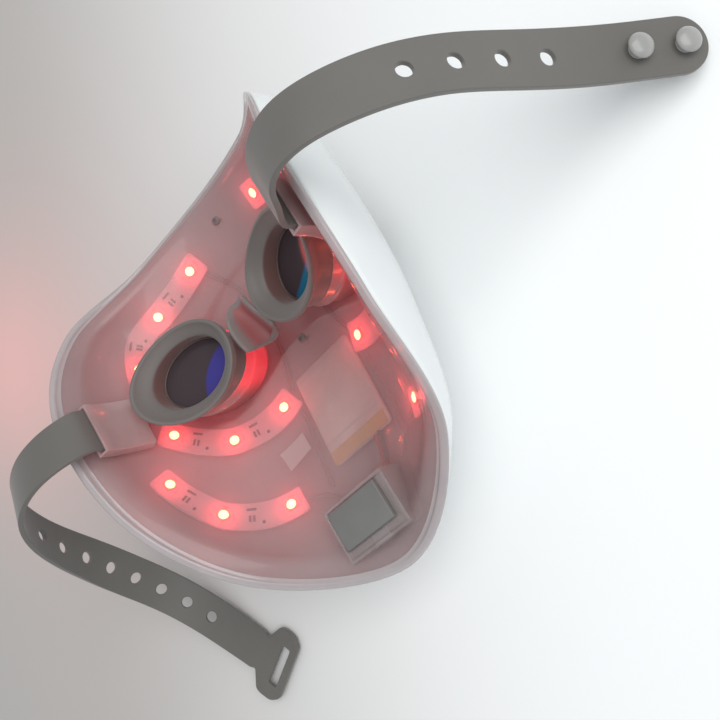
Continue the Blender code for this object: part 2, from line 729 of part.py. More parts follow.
class Ribbon:
    """A strap's middle line with its directions, and places along it by length."""

    def __init__(self, side, route, samples):
        root, out, across = strap_root(side)
        self.points = open_curve([root, root + out * ROOT_LENGTH] + [p for p, _ in route], samples)
        guide = open_curve([across, across] + [d for _, d in route], samples)
        along = np.gradient(self.points, axis=0)
        self.along = along / np.linalg.norm(along, axis=1, keepdims=True)
        guide -= self.along * (guide * self.along).sum(axis=1, keepdims=True)
        self.across = guide / np.linalg.norm(guide, axis=1, keepdims=True)
        self.normal = np.cross(self.along, self.across)
        steps = np.linalg.norm(np.diff(self.points, axis=0), axis=1)
        self.lengths = np.concatenate([[0], np.cumsum(steps)])

    def frame(self, length):
        """Point, direction along, direction across and normal at a length from the root."""
        values = []
        for table in (self.points, self.along, self.across, self.normal):
            values.append(np.array([np.interp(length, self.lengths, table[:, k]) for k in range(3)]))
        return values


def punch(strap, ribbon, lengths, name):
    for number, length in enumerate(lengths, 1):
        point, _, across, normal = ribbon.frame(length)
        hole = turned([(STRAP_HOLE_RADIUS, -4), (STRAP_HOLE_RADIUS, 4)], 14)
        cutter = add_object(f"cut_{name}_{number}", *hole, "steel", point, axis_rotation(normal, across))
        boolean(strap, cutter)


def build_strap_left():
    ribbon = Ribbon(-1.0, LEFT_ROUTE, 4)
    end = ribbon.lengths[-1]
    start = end - BUCKLE_LENGTH
    trim_length, trim_width = BUCKLE_TRIM

    def width_at(length):
        spread = min(1.0, max(0.0, (length - start) / BUCKLE_SPREAD))
        trim = min(1.0, max(0.0, (end - length) / trim_length))
        return STRAP_WIDTH + (BUCKLE_WIDTH - STRAP_WIDTH) * spread - trim_width * (1 - trim)

    before = ribbon.lengths[ribbon.lengths < start]
    fine = np.unique(np.concatenate([before, np.arange(start, end, BUCKLE_STEP), [end]]))
    tables = [ribbon.frame(length) for length in fine]
    rings = []
    for length, (point, _, across, normal) in zip(fine, tables):
        rings.append(rectangle(point, unit(across), unit(normal), width_at(length), STRAP_THICKNESS))
    root = ribbon.points[0]
    vertices, faces = loft(rings)
    strap = add_object("strap_left", vertices - root, faces, "silicone_grey", root, smooth=False)
    punch(strap, ribbon, LEFT_HOLES, "strap_left")
    point, _, across, normal = ribbon.frame(end - SLOT_BACK)
    slot = slab(SLOT_SIZE[0], SLOT_SIZE[1], -6, 6)
    cutter = add_object("cut_buckle", *slot, "steel", point, axis_rotation(normal, across))
    boolean(strap, cutter)


def build_strap_right():
    ribbon = Ribbon(1.0, RIGHT_ROUTE, 4)
    end = ribbon.lengths[-1]
    radius = STRAP_WIDTH / 2

    def width_at(length):
        past = max(0.0, length - (end - radius)) / radius
        return STRAP_WIDTH * math.sqrt(max(0.02, 1 - past**2))

    fine = np.unique(np.concatenate([ribbon.lengths[ribbon.lengths < end - radius],
                                     end - radius + radius * np.sin(np.linspace(0, math.pi / 2, 7))]))
    rings = []
    for length in fine:
        point, _, across, normal = ribbon.frame(length)
        rings.append(rectangle(point, unit(across), unit(normal), width_at(length), STRAP_THICKNESS))
    root = ribbon.points[0]
    vertices, faces = loft(rings)
    strap = add_object("strap_right", vertices - root, faces, "silicone_grey", root, smooth=False)
    punch(strap, ribbon, RIGHT_HOLES, "strap_right")
    for number, length in enumerate(STUD_LENGTHS, 1):
        point, _, across, normal = ribbon.frame(length)
        up = unit(normal) * (1 if normal[2] > 0 else -1)
        stud = turned([(2.4, 0), (2.4, 1.8), (4.6, 2.4), (4.3, 3.6), (3.0, 4.4)], 16)
        add_object(f"strap_stud_{number}", *stud, "stud_pale",
                   point + up * (STRAP_THICKNESS / 2 + GAP), axis_rotation(up, across))


# ---------------------------------------------------------------- assembly

clear_scene()
MASK = add_empty("mask", MASK_PLACE)
build_outer_shell()
build_eye_windows()
build_inner_liner()
build_light_boards()
build_goggles()
build_nose_bridge()
build_battery()
build_controls()
build_screws()
build_pockets()
build_strap_left()
build_strap_right()
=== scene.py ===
"""Looks of the LED face mask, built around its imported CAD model.

Lengths are millimetres in the mask's own frame until a piece is made: X to the wearer's right,
Y to the forehead and Z to the wearer. The bowl functions are the same as the CAD's.
"""

import json
import math

import bmesh
import bpy
import numpy as np
from mathutils import Matrix, Vector

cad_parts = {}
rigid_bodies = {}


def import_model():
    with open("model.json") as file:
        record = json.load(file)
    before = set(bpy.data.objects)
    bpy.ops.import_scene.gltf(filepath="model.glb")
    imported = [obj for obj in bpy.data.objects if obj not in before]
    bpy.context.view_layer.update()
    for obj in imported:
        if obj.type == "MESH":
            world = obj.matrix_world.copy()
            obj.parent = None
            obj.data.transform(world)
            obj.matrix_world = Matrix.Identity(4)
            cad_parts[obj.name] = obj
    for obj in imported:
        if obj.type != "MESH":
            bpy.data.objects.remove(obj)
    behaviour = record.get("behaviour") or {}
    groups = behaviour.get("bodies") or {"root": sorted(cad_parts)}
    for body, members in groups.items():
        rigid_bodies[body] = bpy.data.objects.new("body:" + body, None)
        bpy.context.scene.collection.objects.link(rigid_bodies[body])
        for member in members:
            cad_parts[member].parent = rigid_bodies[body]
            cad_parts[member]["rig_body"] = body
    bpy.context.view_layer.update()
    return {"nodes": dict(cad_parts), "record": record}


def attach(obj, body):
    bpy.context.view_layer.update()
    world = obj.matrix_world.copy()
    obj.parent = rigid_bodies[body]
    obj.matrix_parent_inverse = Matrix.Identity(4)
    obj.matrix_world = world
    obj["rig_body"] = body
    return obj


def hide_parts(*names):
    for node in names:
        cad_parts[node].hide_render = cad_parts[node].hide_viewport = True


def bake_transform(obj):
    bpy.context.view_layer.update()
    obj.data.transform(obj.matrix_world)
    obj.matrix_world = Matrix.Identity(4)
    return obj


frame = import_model()
MM = 0.001
MASK = "mask_body"
SIDES = (("right", 1.0), ("left", -1.0))

# The bowl, as in the CAD.
RIM_STATIONS = [
    (0, 99, 16),
    (47, 87, 35),
    (76, 68, 68),
    (83.5, 25, 88),
    (78, -33, 81),
    (57, -80, 51),
    (0, -106, 30),
]
WRAP_ANGLES = [50, 72, 98, 102, 98, 82, 62]
BOWL_Y = 5.0
BOWL_SEGMENTS = 252
SHELL_INSIDE = 2.0
BOARD_DEPTHS = (6.1, 7.0)
LED_DEPTH = 7.1
LINER_BACK = 9.6
LINER_FRONT = 10.6
RECESS_DEPTH = 2.3
FRONT_RINGS = 110
LED_SIZE = 5.0
LED_HEIGHT = 1.4
LED_WINDOW_RADIUS = 2.3
BOARD_WIDTH = 14.0
BOARD_OVERHANG = 7.2
BOARD_CORNER = 2.0
LED_PLACES = {
    "forehead": [(30.5, 74), (56, 66), (76, 43)],
    "cheek": [(30, -13), (57, -13.5), (75, 3)],
    "jaw": [(45, -57), (68.5, -45), (79, -20.5)],
}

# Eye cups, as in the CAD.
CUP_LIP = np.array([35.5, 17.0, 53.0])
CUP_FOOT = np.array([42.5, 19.0, 18.5])
CUP_LIP_TILT = 22.6
CUP_FOOT_TILT = 25.0
CUP_ROLL = -8.0
CUP_SADDLE = 1.4
CUP_SEGMENTS = 96
EYE_WINDOW_PLACE = (43.0, 19.0)

# Nose bridge: its ends along Y and the thickness of its wall.
BRIDGE_TOP_Y = 29.2
BRIDGE_LOW_Y = 6.8
BRIDGE_WALL = 1.9

# Battery, screws and button, as in the CAD.
BATTERY_CENTRE = np.array([0.0, -28.2, 9.6])
BATTERY_SIZE = (37.5, 48.0, 2.8)
BATTERY_PITCH = -8.0
SCREW_PLACES = {"screw_forehead": 83.0, "screw_philtrum": 7.5}
BUTTON_Y = -80.5

# Straps, as in the CAD but with smaller holes. Each one bends over a short stretch above its pocket's
# mouth, and is cut in two just past that stretch, into a root that stays in place and a free part that turns
# with the strap's body.
STRAP_WIDTH = 20.5
STRAP_THICKNESS = 2.2
STRAP_HOLE_RADIUS = 2.8
STRAP_DEPTH = 14.8
STRAP_REACH = 0.993
ANCHOR_REACH = 0.79
ROOT_LENGTH = 4.0
STRAP_SMOOTHING = 110
STRAP_SAMPLES = 16
BEND_CUT = 12.5
POCKET_Y = 12.0
LEFT_ROUTE = [
    ((-74, 11.5, 95.5), (-0.06, 0.99, -0.05)),
    ((-81, 10.3, 101), (-0.12, 0.99, -0.10)),
    ((-90, 9, 104.6), (-0.18, 0.97, -0.15)),
    ((-101, 6.6, 105.6), (-0.19, 0.95, -0.22)),
    ((-114, 3, 102), (-0.18, 0.94, -0.29)),
    ((-126, -3, 91), (-0.09, 0.93, -0.37)),
    ((-135, -10, 76), (0.04, 0.89, -0.45)),
    ((-141, -17, 61), (0.24, 0.83, -0.51)),
    ((-145, -26, 46), (0.50, 0.69, -0.52)),
    ((-147, -36.5, 31), (0.69, 0.56, -0.46)),
    ((-145, -49.5, 19), (0.76, 0.50, -0.41)),
    ((-140, -64.5, 11), (0.81, 0.47, -0.35)),
    ((-133, -80, 6.4), (0.84, 0.46, -0.27)),
    ((-124, -97, 3.8), (0.88, 0.46, -0.12)),
    ((-115.6, -112.6, 3), (0.89, 0.46, -0.03)),
]
RIGHT_ROUTE = [
    ((75, 12, 96.5), (-0.03, 0.99, -0.03)),
    ((80.5, 12.6, 103.5), (0.03, 0.99, -0.10)),
    ((89, 12.6, 108), (0.08, 0.99, -0.13)),
    ((100, 11.8, 108.3), (0.10, 0.99, -0.10)),
    ((113, 9.7, 103), (0.14, 0.99, -0.06)),
    ((127, 7, 93), (0.18, 0.98, -0.04)),
    ((139, 4, 79.6), (0.24, 0.97, -0.04)),
    ((148, 1, 64.8), (0.31, 0.95, -0.02)),
    ((157, -2.8, 49.5), (0.37, 0.93, -0.01)),
    ((167, -7.2, 34.8), (0.41, 0.91, 0.0)),
    ((178, -12.2, 21.5), (0.42, 0.91, -0.01)),
    ((196.6, -21.3, 3.0), (0.42, 0.91, -0.01)),
]
LEFT_HOLES = [79 + 15.1 * k for k in range(8)]
RIGHT_HOLES = [82 + 17.2 * k for k in range(4)]
STUD_LENGTHS = [167.0, 184.2]
BUCKLE_WIDTH = 38.0
BUCKLE_LENGTH = 18.0
SLOT_SIZE = (22.0, 5.0)
SLOT_BACK = 6.6

# The lid's middle, which the record gives as a mount, fixes the mask's place in the row frame.
LID_MIDDLE = np.array([-1.4, -80.9, 41.3])
PLACE = np.array(frame["record"]["mounts"][0]["pos_m"]) / MM - LID_MIDDLE


# ---------------------------------------------------------------- the bowl

def around(half, mirror_x):
    """Turn stations from forehead to chin into a closed ring, with the wearer's left side added."""
    half = np.asarray(half, float)
    other = half[-2:0:-1].copy()
    if mirror_x:
        other[:, 0] *= -1
    return np.vstack([half, other])


def catmull_rom(a, b, c, d, u):
    """Point at share u between b and c, on the smooth curve through all four."""
    return 0.5 * (2 * b + (c - a) * u + (2 * a - 5 * b + 4 * c - d) * u**2 + (3 * b - a - 3 * c + d) * u**3)


def curve_at(points, where):
    """Smooth curve through a closed ring of points."""
    where = np.asarray(where, float) % len(points)
    index = np.floor(where).astype(int)
    corners = [points[(index + k) % len(points)] for k in (-1, 0, 1, 2)]
    return catmull_rom(*corners, (where - index)[..., None])


def open_curve(points, samples):
    """Smooth curve through open points, with samples between each pair."""
    points = np.asarray(points, float)
    padded = np.vstack([2 * points[0] - points[1], points, 2 * points[-1] - points[-2]])
    result = []
    for k in range(1, len(padded) - 2):
        result += [catmull_rom(*padded[k - 1:k + 3], u) for u in np.arange(samples) / samples]
    return np.array(result + [points[-1]])


RIM = around(RIM_STATIONS, True)
WRAP = around([[angle] for angle in WRAP_ANGLES], False)
TURN = len(RIM)


def outer_point(station, reach):
    """Point of the outer face: reach runs from 0 at the lowest point to 1 at the rim."""
    rim = curve_at(RIM, station)
    wrap = np.radians(curve_at(WRAP, station))[..., 0]
    out = np.sin(wrap * reach) / np.sin(wrap)
    up = (1 - np.cos(wrap * reach)) / (1 - np.cos(wrap))
    return np.stack([rim[..., 0] * out, BOWL_Y + (rim[..., 1] - BOWL_Y) * out, rim[..., 2] * up], -1)


def inward(station, reach):
    """Unit normal of the outer face, pointing to the wearer."""
    step = 1e-3
    reach = np.maximum(reach, 2 * step)
    along = outer_point(station + step, reach) - outer_point(station - step, reach)
    out = outer_point(station, reach + step) - outer_point(station, reach - step)
    normal = -np.cross(out, along)
    return normal / np.linalg.norm(normal, axis=-1, keepdims=True)


def wall_point(station, reach, depth):
    return outer_point(station, reach) + inward(station, reach) * np.asarray(depth)[..., None]


LOCATE_STATIONS = np.linspace(0, TURN, 2401)
LOCATE_RING = outer_point(LOCATE_STATIONS, np.ones_like(LOCATE_STATIONS))
LOCATE_ANGLES = np.unwrap(np.arctan2(LOCATE_RING[:, 0], LOCATE_RING[:, 1] - BOWL_Y))


def locate(x, y):
    """Station and reach of the bowl's points over x and y."""
    x, y = np.asarray(x, float), np.asarray(y, float)
    angle = np.arctan2(x, y - BOWL_Y) % (2 * math.pi)
    station = np.interp(angle, LOCATE_ANGLES, LOCATE_STATIONS)
    rim = curve_at(RIM, station)
    wrap = np.radians(curve_at(WRAP, station))[..., 0]
    part = np.hypot(x, y - BOWL_Y) / np.hypot(rim[..., 0], rim[..., 1] - BOWL_Y)
    return station, np.arcsin(np.minimum(1.0, part * np.sin(wrap))) / wrap


def on_wall(x, y, depth):
    station, reach = locate(x, y)
    return wall_point(station, reach, np.asarray(depth, float) + np.zeros_like(station))


def normal_on(x, y):
    return inward(*locate(x, y))


def unit(vector):
    return vector / np.linalg.norm(vector, axis=-1, keepdims=True)


def ramp(value, low, high):
    """Smooth step from 0 at low to 1 at high."""
    t = np.clip((np.asarray(value, float) - low) / (high - low), 0, 1)
    return t * t * (3 - 2 * t)


def full_turn(count):
    """Angles of a full turn in equal steps."""
    return np.arange(count) * 2 * math.pi / count


def soften(rows, passes):
    """Smooth rows in place, with both ends held."""
    for _ in range(passes):
        rows[1:-1] = (rows[:-2] + 2 * rows[1:-1] + rows[2:]) / 4


# ---------------------------------------------------------------- shapes of the two shells

def recess_at(x, y):
    """Share of the liner's recess around the eyes: its lower edge follows the brow of the cheek boards."""
    x = np.abs(x)
    lower = np.interp(x, [0, 13, 17, 25, 36, 44, 54, 66], [10, 9, 8.2, 4.7, 1, -2.6, -4, 1.5])
    upper = np.interp(x, [0, 20, 40, 60, 75], [62, 60, 52, 40, 20])
    return ramp(y, lower - 0.8, lower + 0.8) * (1 - ramp(y, upper - 6, upper)) * (1 - ramp(x, 60, 68))


def dents_at(x, y):
    """Depth of the outer shell's soft dents: the eye sockets and the sides of a plain nose."""
    x = np.abs(x)
    socket = 2.6 * np.exp(-(((x - 41) / 22) ** 2 + ((y - 19) / 15) ** 2) ** 2)
    nose = 1.8 * np.exp(-((x - 15) / 7) ** 2 - ((y - 2) / 16) ** 2)
    mouth = 1.2 * np.exp(-(x / 24) ** 2 - ((y + 44) / 3.2) ** 2)
    return socket + nose + mouth


LED_POINTS = {}
for region, lights in LED_PLACES.items():
    for side_name, side in SIDES:
        for number, (x, y) in enumerate(lights, 1):
            LED_POINTS[region, side_name, number] = on_wall(side * x, y, LED_DEPTH + LED_HEIGHT)


def glow_at(points, spread):
    """Light that the emitters throw on each point, as a sum of soft spots."""
    total = np.zeros(len(points))
    for place in LED_POINTS.values():
        distance = np.linalg.norm(points - place, axis=1)
        total += np.exp(-distance / spread)
    return total


# ---------------------------------------------------------------- making pieces

def add_object(name, data):
    made = bpy.data.objects.new(name, data)
    bpy.context.collection.objects.link(made)
    return made


def mesh_object(name, vertices, faces, material, sharp=40):
    """Closed mesh from millimetre vertices in the mask's frame, with its object at the row's origin."""
    mesh = bpy.data.meshes.new(name)
    places = (np.asarray(vertices, float) + PLACE) * MM
    mesh.from_pydata([tuple(v) for v in places], [], [tuple(f) for f in faces])
    shape = bmesh.new()
    shape.from_mesh(mesh)
    bmesh.ops.recalc_face_normals(shape, faces=shape.faces)
    shape.to_mesh(mesh)
    shape.free()
    mesh.shade_smooth()
    mesh.set_sharp_from_angle(angle=math.radians(sharp))
    mesh.materials.append(material)
    return add_object(name, mesh)


def finish_piece(made, body, nodes=()):
    """Let a piece ride on its body, and take the place of its CAD nodes."""
    if body is not None:
        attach(made, body)
    if nodes:
        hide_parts(*nodes)
    return made


def second_material(made, material, first, last=math.inf):
    """Give another material to the faces whose vertices all lie between two indices."""
    made.data.materials.append(material)
    for face in made.data.polygons:
        if all(first <= index < last for index in face.vertices):
            face.material_index = 1


def add_attribute(made, name, values):
    attribute = made.data.attributes.new(name, "FLOAT", "POINT")
    attribute.data.foreach_set("value", np.asarray(values, np.float32))


def vertices_of(made):
    """Vertices in millimetres in the mask's frame."""
    co = np.zeros(len(made.data.vertices) * 3)
    made.data.vertices.foreach_get("co", co)
    return co.reshape(-1, 3) / MM - PLACE


def loft(rings, closed=False):
    """Skin through rings of equal length, whose last ring joins its first or else both ends have caps."""
    count = len(rings[0])
    vertices = np.concatenate(rings)
    faces = []
    spans = len(rings) if closed else len(rings) - 1
    for ring in range(spans):
        low = ring * count
        high = ((ring + 1) % len(rings)) * count
        for k in range(count):
            n = (k + 1) % count
            faces.append((low + k, low + n, high + n, high + k))
    if not closed:
        faces.append(tuple(reversed(range(count))))
        faces.append(tuple(range(len(vertices) - count, len(vertices))))
    return vertices, faces


def bowl_solid(profile, relief):
    """Bowl wall whose section is a list of (reach, depth), with relief added to the depth at each place."""
    stations = np.arange(BOWL_SEGMENTS) * TURN / BOWL_SEGMENTS
    middle = relief(0.0, BOWL_Y)
    vertices = [np.array([0, BOWL_Y, profile[0][1] + middle])]
    for reach, depth in profile[1:-1]:
        reaches = np.full(BOWL_SEGMENTS, float(reach))
        base = outer_point(stations, reaches)
        depths = depth + relief(base[:, 0], base[:, 1])
        vertices.extend(wall_point(stations, reaches, depths))
    vertices.append(np.array([0, BOWL_Y, profile[-1][1] + middle]))
    faces = []
    rings = len(profile) - 2
    for k in range(BOWL_SEGMENTS):
        n = (k + 1) % BOWL_SEGMENTS
        faces.append((0, 1 + k, 1 + n))
        for ring in range(rings - 1):
            low = 1 + ring * BOWL_SEGMENTS
            high = low + BOWL_SEGMENTS
            faces.append((low + k, high + k, high + n, low + n))
        low = 1 + (rings - 1) * BOWL_SEGMENTS
        faces.append((low + k, len(vertices) - 1, low + n))
    return vertices, faces


def rectangle(centre, across, up, width, height):
    return np.array([
        centre + across * (a * width / 2) + up * (b * height / 2)
        for a, b in ((-1, -1), (1, -1), (1, 1), (-1, 1))
    ])


def turned(profile, segments, origin, axis, x_hint=(1, 0, 0)):
    """Solid turned about an axis from (radius, height) pairs."""
    z = unit(np.asarray(axis, float))
    y = unit(np.cross(z, np.asarray(x_hint, float)))
    x = np.cross(y, z)
    angles = full_turn(segments)[:, None]
    circle_of_one = np.cos(angles) * x + np.sin(angles) * y
    return loft([origin + z * height + radius * circle_of_one for radius, height in profile])


def join_solids(name, solids, material, body=MASK, nodes=(), sharp=40):
    """One piece from several closed solids that belong together."""
    vertices, faces = [], []
    for points, polygons in solids:
        base = len(vertices)
        vertices.extend(np.asarray(points))
        faces.extend([tuple(base + i for i in polygon) for polygon in polygons])
    return finish_piece(mesh_object(name, vertices, faces, material, sharp=sharp), body, nodes)


def bevelled_copy(node, name, material, width, segments=3):
    """Copy of a CAD piece with its edges rounded, which takes the CAD piece's place."""
    source = frame["nodes"][node]
    shape = bmesh.new()
    shape.from_mesh(source.data)
    bmesh.ops.remove_doubles(shape, verts=shape.verts, dist=1e-6)
    bmesh.ops.dissolve_limit(shape, angle_limit=math.radians(1.0), verts=shape.verts, edges=shape.edges)
    mesh = bpy.data.meshes.new(name)
    shape.to_mesh(mesh)
    shape.free()
    mesh.materials.append(material)
    mesh.shade_smooth()
    made = add_object(name, mesh)
    bevel = made.modifiers.new("edges", "BEVEL")
    bevel.width = width * MM
    bevel.segments = segments
    bevel.limit_method = "ANGLE"
    bevel.angle_limit = math.radians(25)
    bevel.harden_normals = True
    return finish_piece(made, source["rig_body"], (node,))


# ---------------------------------------------------------------- materials

def node_at(tree, kind, **settings):
    made = tree.nodes.new(kind)
    for key, value in settings.items():
        setattr(made, key, value)
    return made


def noise_at(tree, place, scale, detail):
    """Noise over the object's own coordinates."""
    made = node_at(tree, "ShaderNodeTexNoise")
    made.inputs["Scale"].default_value = scale
    made.inputs["Detail"].default_value = detail
    tree.links.new(place.outputs["Object"], made.inputs["Vector"])
    return made.outputs["Fac"]


def colour_ramp(tree, factor, stops):
    """Colours that follow a factor, from (position, colour) stops in rising order."""
    made = node_at(tree, "ShaderNodeValToRGB")
    elements = made.color_ramp.elements
    for index in (0, -1):
        elements[index].position = stops[index][0]
        elements[index].color = (*stops[index][1], 1)
    for position, colour in stops[1:-1]:
        elements.new(position).color = (*colour, 1)
    tree.links.new(factor, made.inputs["Fac"])
    return made.outputs["Color"]


def tree_of(material):
    """Node tree of a material and its shader."""
    return material.node_tree, material.node_tree.nodes["Principled BSDF"]


def finish(name, colour, roughness, mottle=0.06, mottle_scale=60.0, grain=0.0, grain_scale=900.0, **sockets):
    """Principled material with a faint mottle in its colour and roughness, and a fine grain in its bump."""
    made = bpy.data.materials.new(name)
    made.use_nodes = True
    tree, shader = tree_of(made)
    place = node_at(tree, "ShaderNodeTexCoord")
    noise = noise_at(tree, place, mottle_scale, 4.0)
    low = [c * (1 - mottle) for c in colour]
    high = [min(1.0, c * (1 + mottle)) for c in colour]
    tree.links.new(colour_ramp(tree, noise, [(0.3, low), (0.7, high)]), shader.inputs["Base Color"])
    rough = node_at(tree, "ShaderNodeMapRange")
    rough.inputs["To Min"].default_value = max(0.02, roughness * 0.85)
    rough.inputs["To Max"].default_value = min(1.0, roughness * 1.15)
    tree.links.new(noise, rough.inputs["Value"])
    tree.links.new(rough.outputs["Result"], shader.inputs["Roughness"])
    if grain:
        bump = node_at(tree, "ShaderNodeBump")
        bump.inputs["Strength"].default_value = grain
        bump.inputs["Distance"].default_value = 0.0002
        tree.links.new(noise_at(tree, place, grain_scale, 3.0), bump.inputs["Height"])
        tree.links.new(bump.outputs["Normal"], shader.inputs["Normal"])
    for key, value in sockets.items():
        shader.inputs[key.replace("_", " ")].default_value = value
    return made


def shine(made, attribute, stops, strength):
    """Let a material shine in colours that follow an attribute."""
    tree, shader = tree_of(made)
    source = node_at(tree, "ShaderNodeAttribute", attribute_name=attribute)
    tree.links.new(colour_ramp(tree, source.outputs["Fac"], stops), shader.inputs["Emission Color"])
    shader.inputs["Emission Strength"].default_value = strength


def add_glow(made, dark, bright, strength):
    """Red light in a material where its glow attribute is high."""
    shine(made, "glow", [(0.0, (0, 0, 0)), (0.35, dark), (1.0, bright)], strength)


def blend_colour(made, attribute, colour):
    """Mix a second colour into a material's base colour where an attribute is high."""
    tree, shader = tree_of(made)
    source = node_at(tree, "ShaderNodeAttribute", attribute_name=attribute)
    mix = node_at(tree, "ShaderNodeMix", data_type="RGBA")
    tree.links.new(source.outputs["Fac"], mix.inputs[0])
    tree.links.new(shader.inputs["Base Color"].links[0].from_socket, mix.inputs[6])
    mix.inputs[7].default_value = (*colour, 1)
    tree.links.new(mix.outputs[2], shader.inputs["Base Color"])


SHELL_WHITE = finish("shell_white", (0.78, 0.81, 0.82), 0.22, 0.02, 30.0, Coat_Weight=0.3)
# Painted shade: the shell's inner face is a darker mauve than its white outside.
SHELL_INNER = finish("shell_inner", (0.40, 0.31, 0.31), 0.45, 0.06, 30.0)
add_glow(SHELL_INNER, (0.20, 0.012, 0.015), (0.9, 0.05, 0.06), 0.35)
LINER_CLEAR = finish("liner_clear", (0.47, 0.365, 0.37), 0.28, 0.06, 45.0, Alpha=0.34, Coat_Weight=0.6)
add_glow(LINER_CLEAR, (0.30, 0.02, 0.03), (0.95, 0.06, 0.09), 0.34)
RIM_CLEAR = finish("rim_clear", (0.52, 0.47, 0.48), 0.15, 0.04, 70.0, Alpha=0.70, Coat_Weight=0.9)
BOARD_WHITE = finish("board_white", (0.66, 0.52, 0.54), 0.45, 0.05, 220.0)
add_glow(BOARD_WHITE, (0.42, 0.008, 0.02), (1.0, 0.04, 0.05), 1.7)
FOAM = finish("foam", (0.72, 0.66, 0.66), 0.95, 0.08, 400.0, grain=0.6)
# The package, white in itself, is given an orange colour and a red glow as painted light from its emitter.
LED_BODY = finish("led_body", (0.90, 0.40, 0.30), 0.35, 0.02,
                  Emission_Color=(0.9, 0.03, 0.03, 1.0), Emission_Strength=0.9)
SILICONE = finish("silicone_grey", (0.126, 0.120, 0.110), 0.50, 0.05, 35.0, grain=0.15, Sheen_Weight=0.25)
CUP_SILICONE = finish("cup_silicone", (0.150, 0.132, 0.124), 0.48, 0.05, grain=0.12, Sheen_Weight=0.2)
RING_BROWN = finish("ring_brown", (0.11, 0.075, 0.068), 0.45, 0.08, 90.0)
RING_CLEAR = finish("ring_clear", (0.38, 0.24, 0.24), 0.30, 0.06, 90.0, Coat_Weight=0.4)
BRIDGE = finish("bridge_silicone", (0.19, 0.165, 0.158), 0.45, 0.06, 60.0, grain=0.1, Sheen_Weight=0.2)
WINDOW = finish("window_dark", (0.010, 0.010, 0.014), 0.06, 0.1, 40.0, Coat_Weight=1.0)
BATTERY_FOIL = finish("battery_foil", (0.86, 0.72, 0.66), 0.38, 0.12, 55.0, grain=0.1, grain_scale=300.0)
TAPE = finish("tape", (0.82, 0.50, 0.16), 0.45, 0.16, 70.0)
WIRE_RED = finish("wire_red", (0.42, 0.03, 0.03), 0.45, 0.04)
WIRE_DARK = finish("wire_dark", (0.05, 0.04, 0.04), 0.45, 0.04)
WIRE_PALE = finish("wire_pale", (0.36, 0.24, 0.24), 0.45, 0.04)
CIRCUIT = finish("circuit", (0.05, 0.16, 0.09), 0.40, 0.08, 200.0)
BOX_CLEAR = finish("box_clear", (0.42, 0.35, 0.35), 0.20, 0.05, 80.0, Alpha=0.46, Coat_Weight=0.9)
POCKET_CLEAR = finish("pocket_clear", (0.58, 0.40, 0.40), 0.20, 0.05, 80.0, Alpha=0.60, Coat_Weight=0.9)
LID_GREY = finish("lid_grey", (0.17, 0.17, 0.165), 0.42, 0.05, 80.0, grain=0.1)
STEEL = finish("steel", (0.58, 0.57, 0.56), 0.28, 0.05, 150.0, Metallic=1.0)
SCREW_GREY = finish("screw_grey", (0.20, 0.16, 0.16), 0.40, 0.05, 150.0)
SWITCH_BLACK = finish("switch_black", (0.02, 0.02, 0.02), 0.45, 0.05)
CHIP_DARK = finish("chip_dark", (0.13, 0.075, 0.085), 0.35, 0.05)
STUD_PALE = finish("stud_pale", (0.33, 0.33, 0.32), 0.28, 0.04, 150.0, Coat_Weight=0.4)
LABEL = finish("label", (0.78, 0.68, 0.66), 0.55, 0.03)
# Painted shade, tinted red by the emitters' light, in the middle of the bridge's trough.
blend_colour(BRIDGE, "valley", (0.27, 0.065, 0.068))
# Painted red light: the inner wall of each cup is redder than its grey silicone.
blend_colour(CUP_SILICONE, "hollow", (0.21, 0.105, 0.095))
# Painted shade, tinted red by the emitters' light: the liner is darker and redder in its recess near the
# cups.
blend_colour(LINER_CLEAR, "recess", (0.25, 0.10, 0.105))
blend_colour(RING_CLEAR, "lit", (0.50, 0.08, 0.09))
add_glow(RING_CLEAR, (0.24, 0.010, 0.016), (0.95, 0.045, 0.065), 0.62)

# Emitter window: white-yellow in its middle and red at its edge.
LED_WINDOW = finish("led_window", (1.0, 0.5, 0.3), 0.3, 0.02)
LED_COLOURS = [(0.0, (1.0, 0.06, 0.03)), (0.25, (1.0, 0.22, 0.06)), (0.55, (1.0, 0.62, 0.26))]
shine(LED_WINDOW, "core", LED_COLOURS, 4.6)

# Coated lens: brown-black, with a painted blue reflection in its base colour, teal on the right lens, where
# the painted reflection share is high.
LENS_DARK = finish("lens_dark", (0.055, 0.040, 0.046), 0.12, 0.05, 60.0, Specular_IOR_Level=0.25)
blend_colour(LENS_DARK, "painted_reflection", (0.050, 0.042, 0.25))
blend_colour(LENS_DARK, "teal_reflection", (0.010, 0.14, 0.24))


# ---------------------------------------------------------------- shells

def build_outer_shell():
    reaches = list(np.linspace(0, 0.985, 56))
    outside = [(r, 0.0) for r in reaches] + [(0.996, 0.12), (1.0, 0.5)]
    inside = [(1.0, 1.5), (0.996, 1.88)] + [(r, SHELL_INSIDE) for r in reversed(reaches)]
    vertices, faces = bowl_solid(outside + inside, dents_at)
    shell = mesh_object("face_shell", vertices, faces, SHELL_WHITE, sharp=60)
    # Inner face in painted shade, darker than the white outside.
    second_material(shell, SHELL_INNER, 1 + (len(outside) + 1) * BOWL_SEGMENTS)
    add_attribute(shell, "glow", np.clip(glow_at(vertices_of(shell), 11.0) * 0.8, 0, 1))
    finish_piece(shell, MASK, ("outer_shell",))


def window_ring(side, a, b, depth):
    """Oval ring of an eye window, at a depth from the shell's face."""
    angles = full_turn(72)
    x = side * EYE_WINDOW_PLACE[0] + a * np.cos(angles)
    y = EYE_WINDOW_PLACE[1] + b * np.sin(angles)
    return on_wall(x, y, depth + dents_at(x, y))


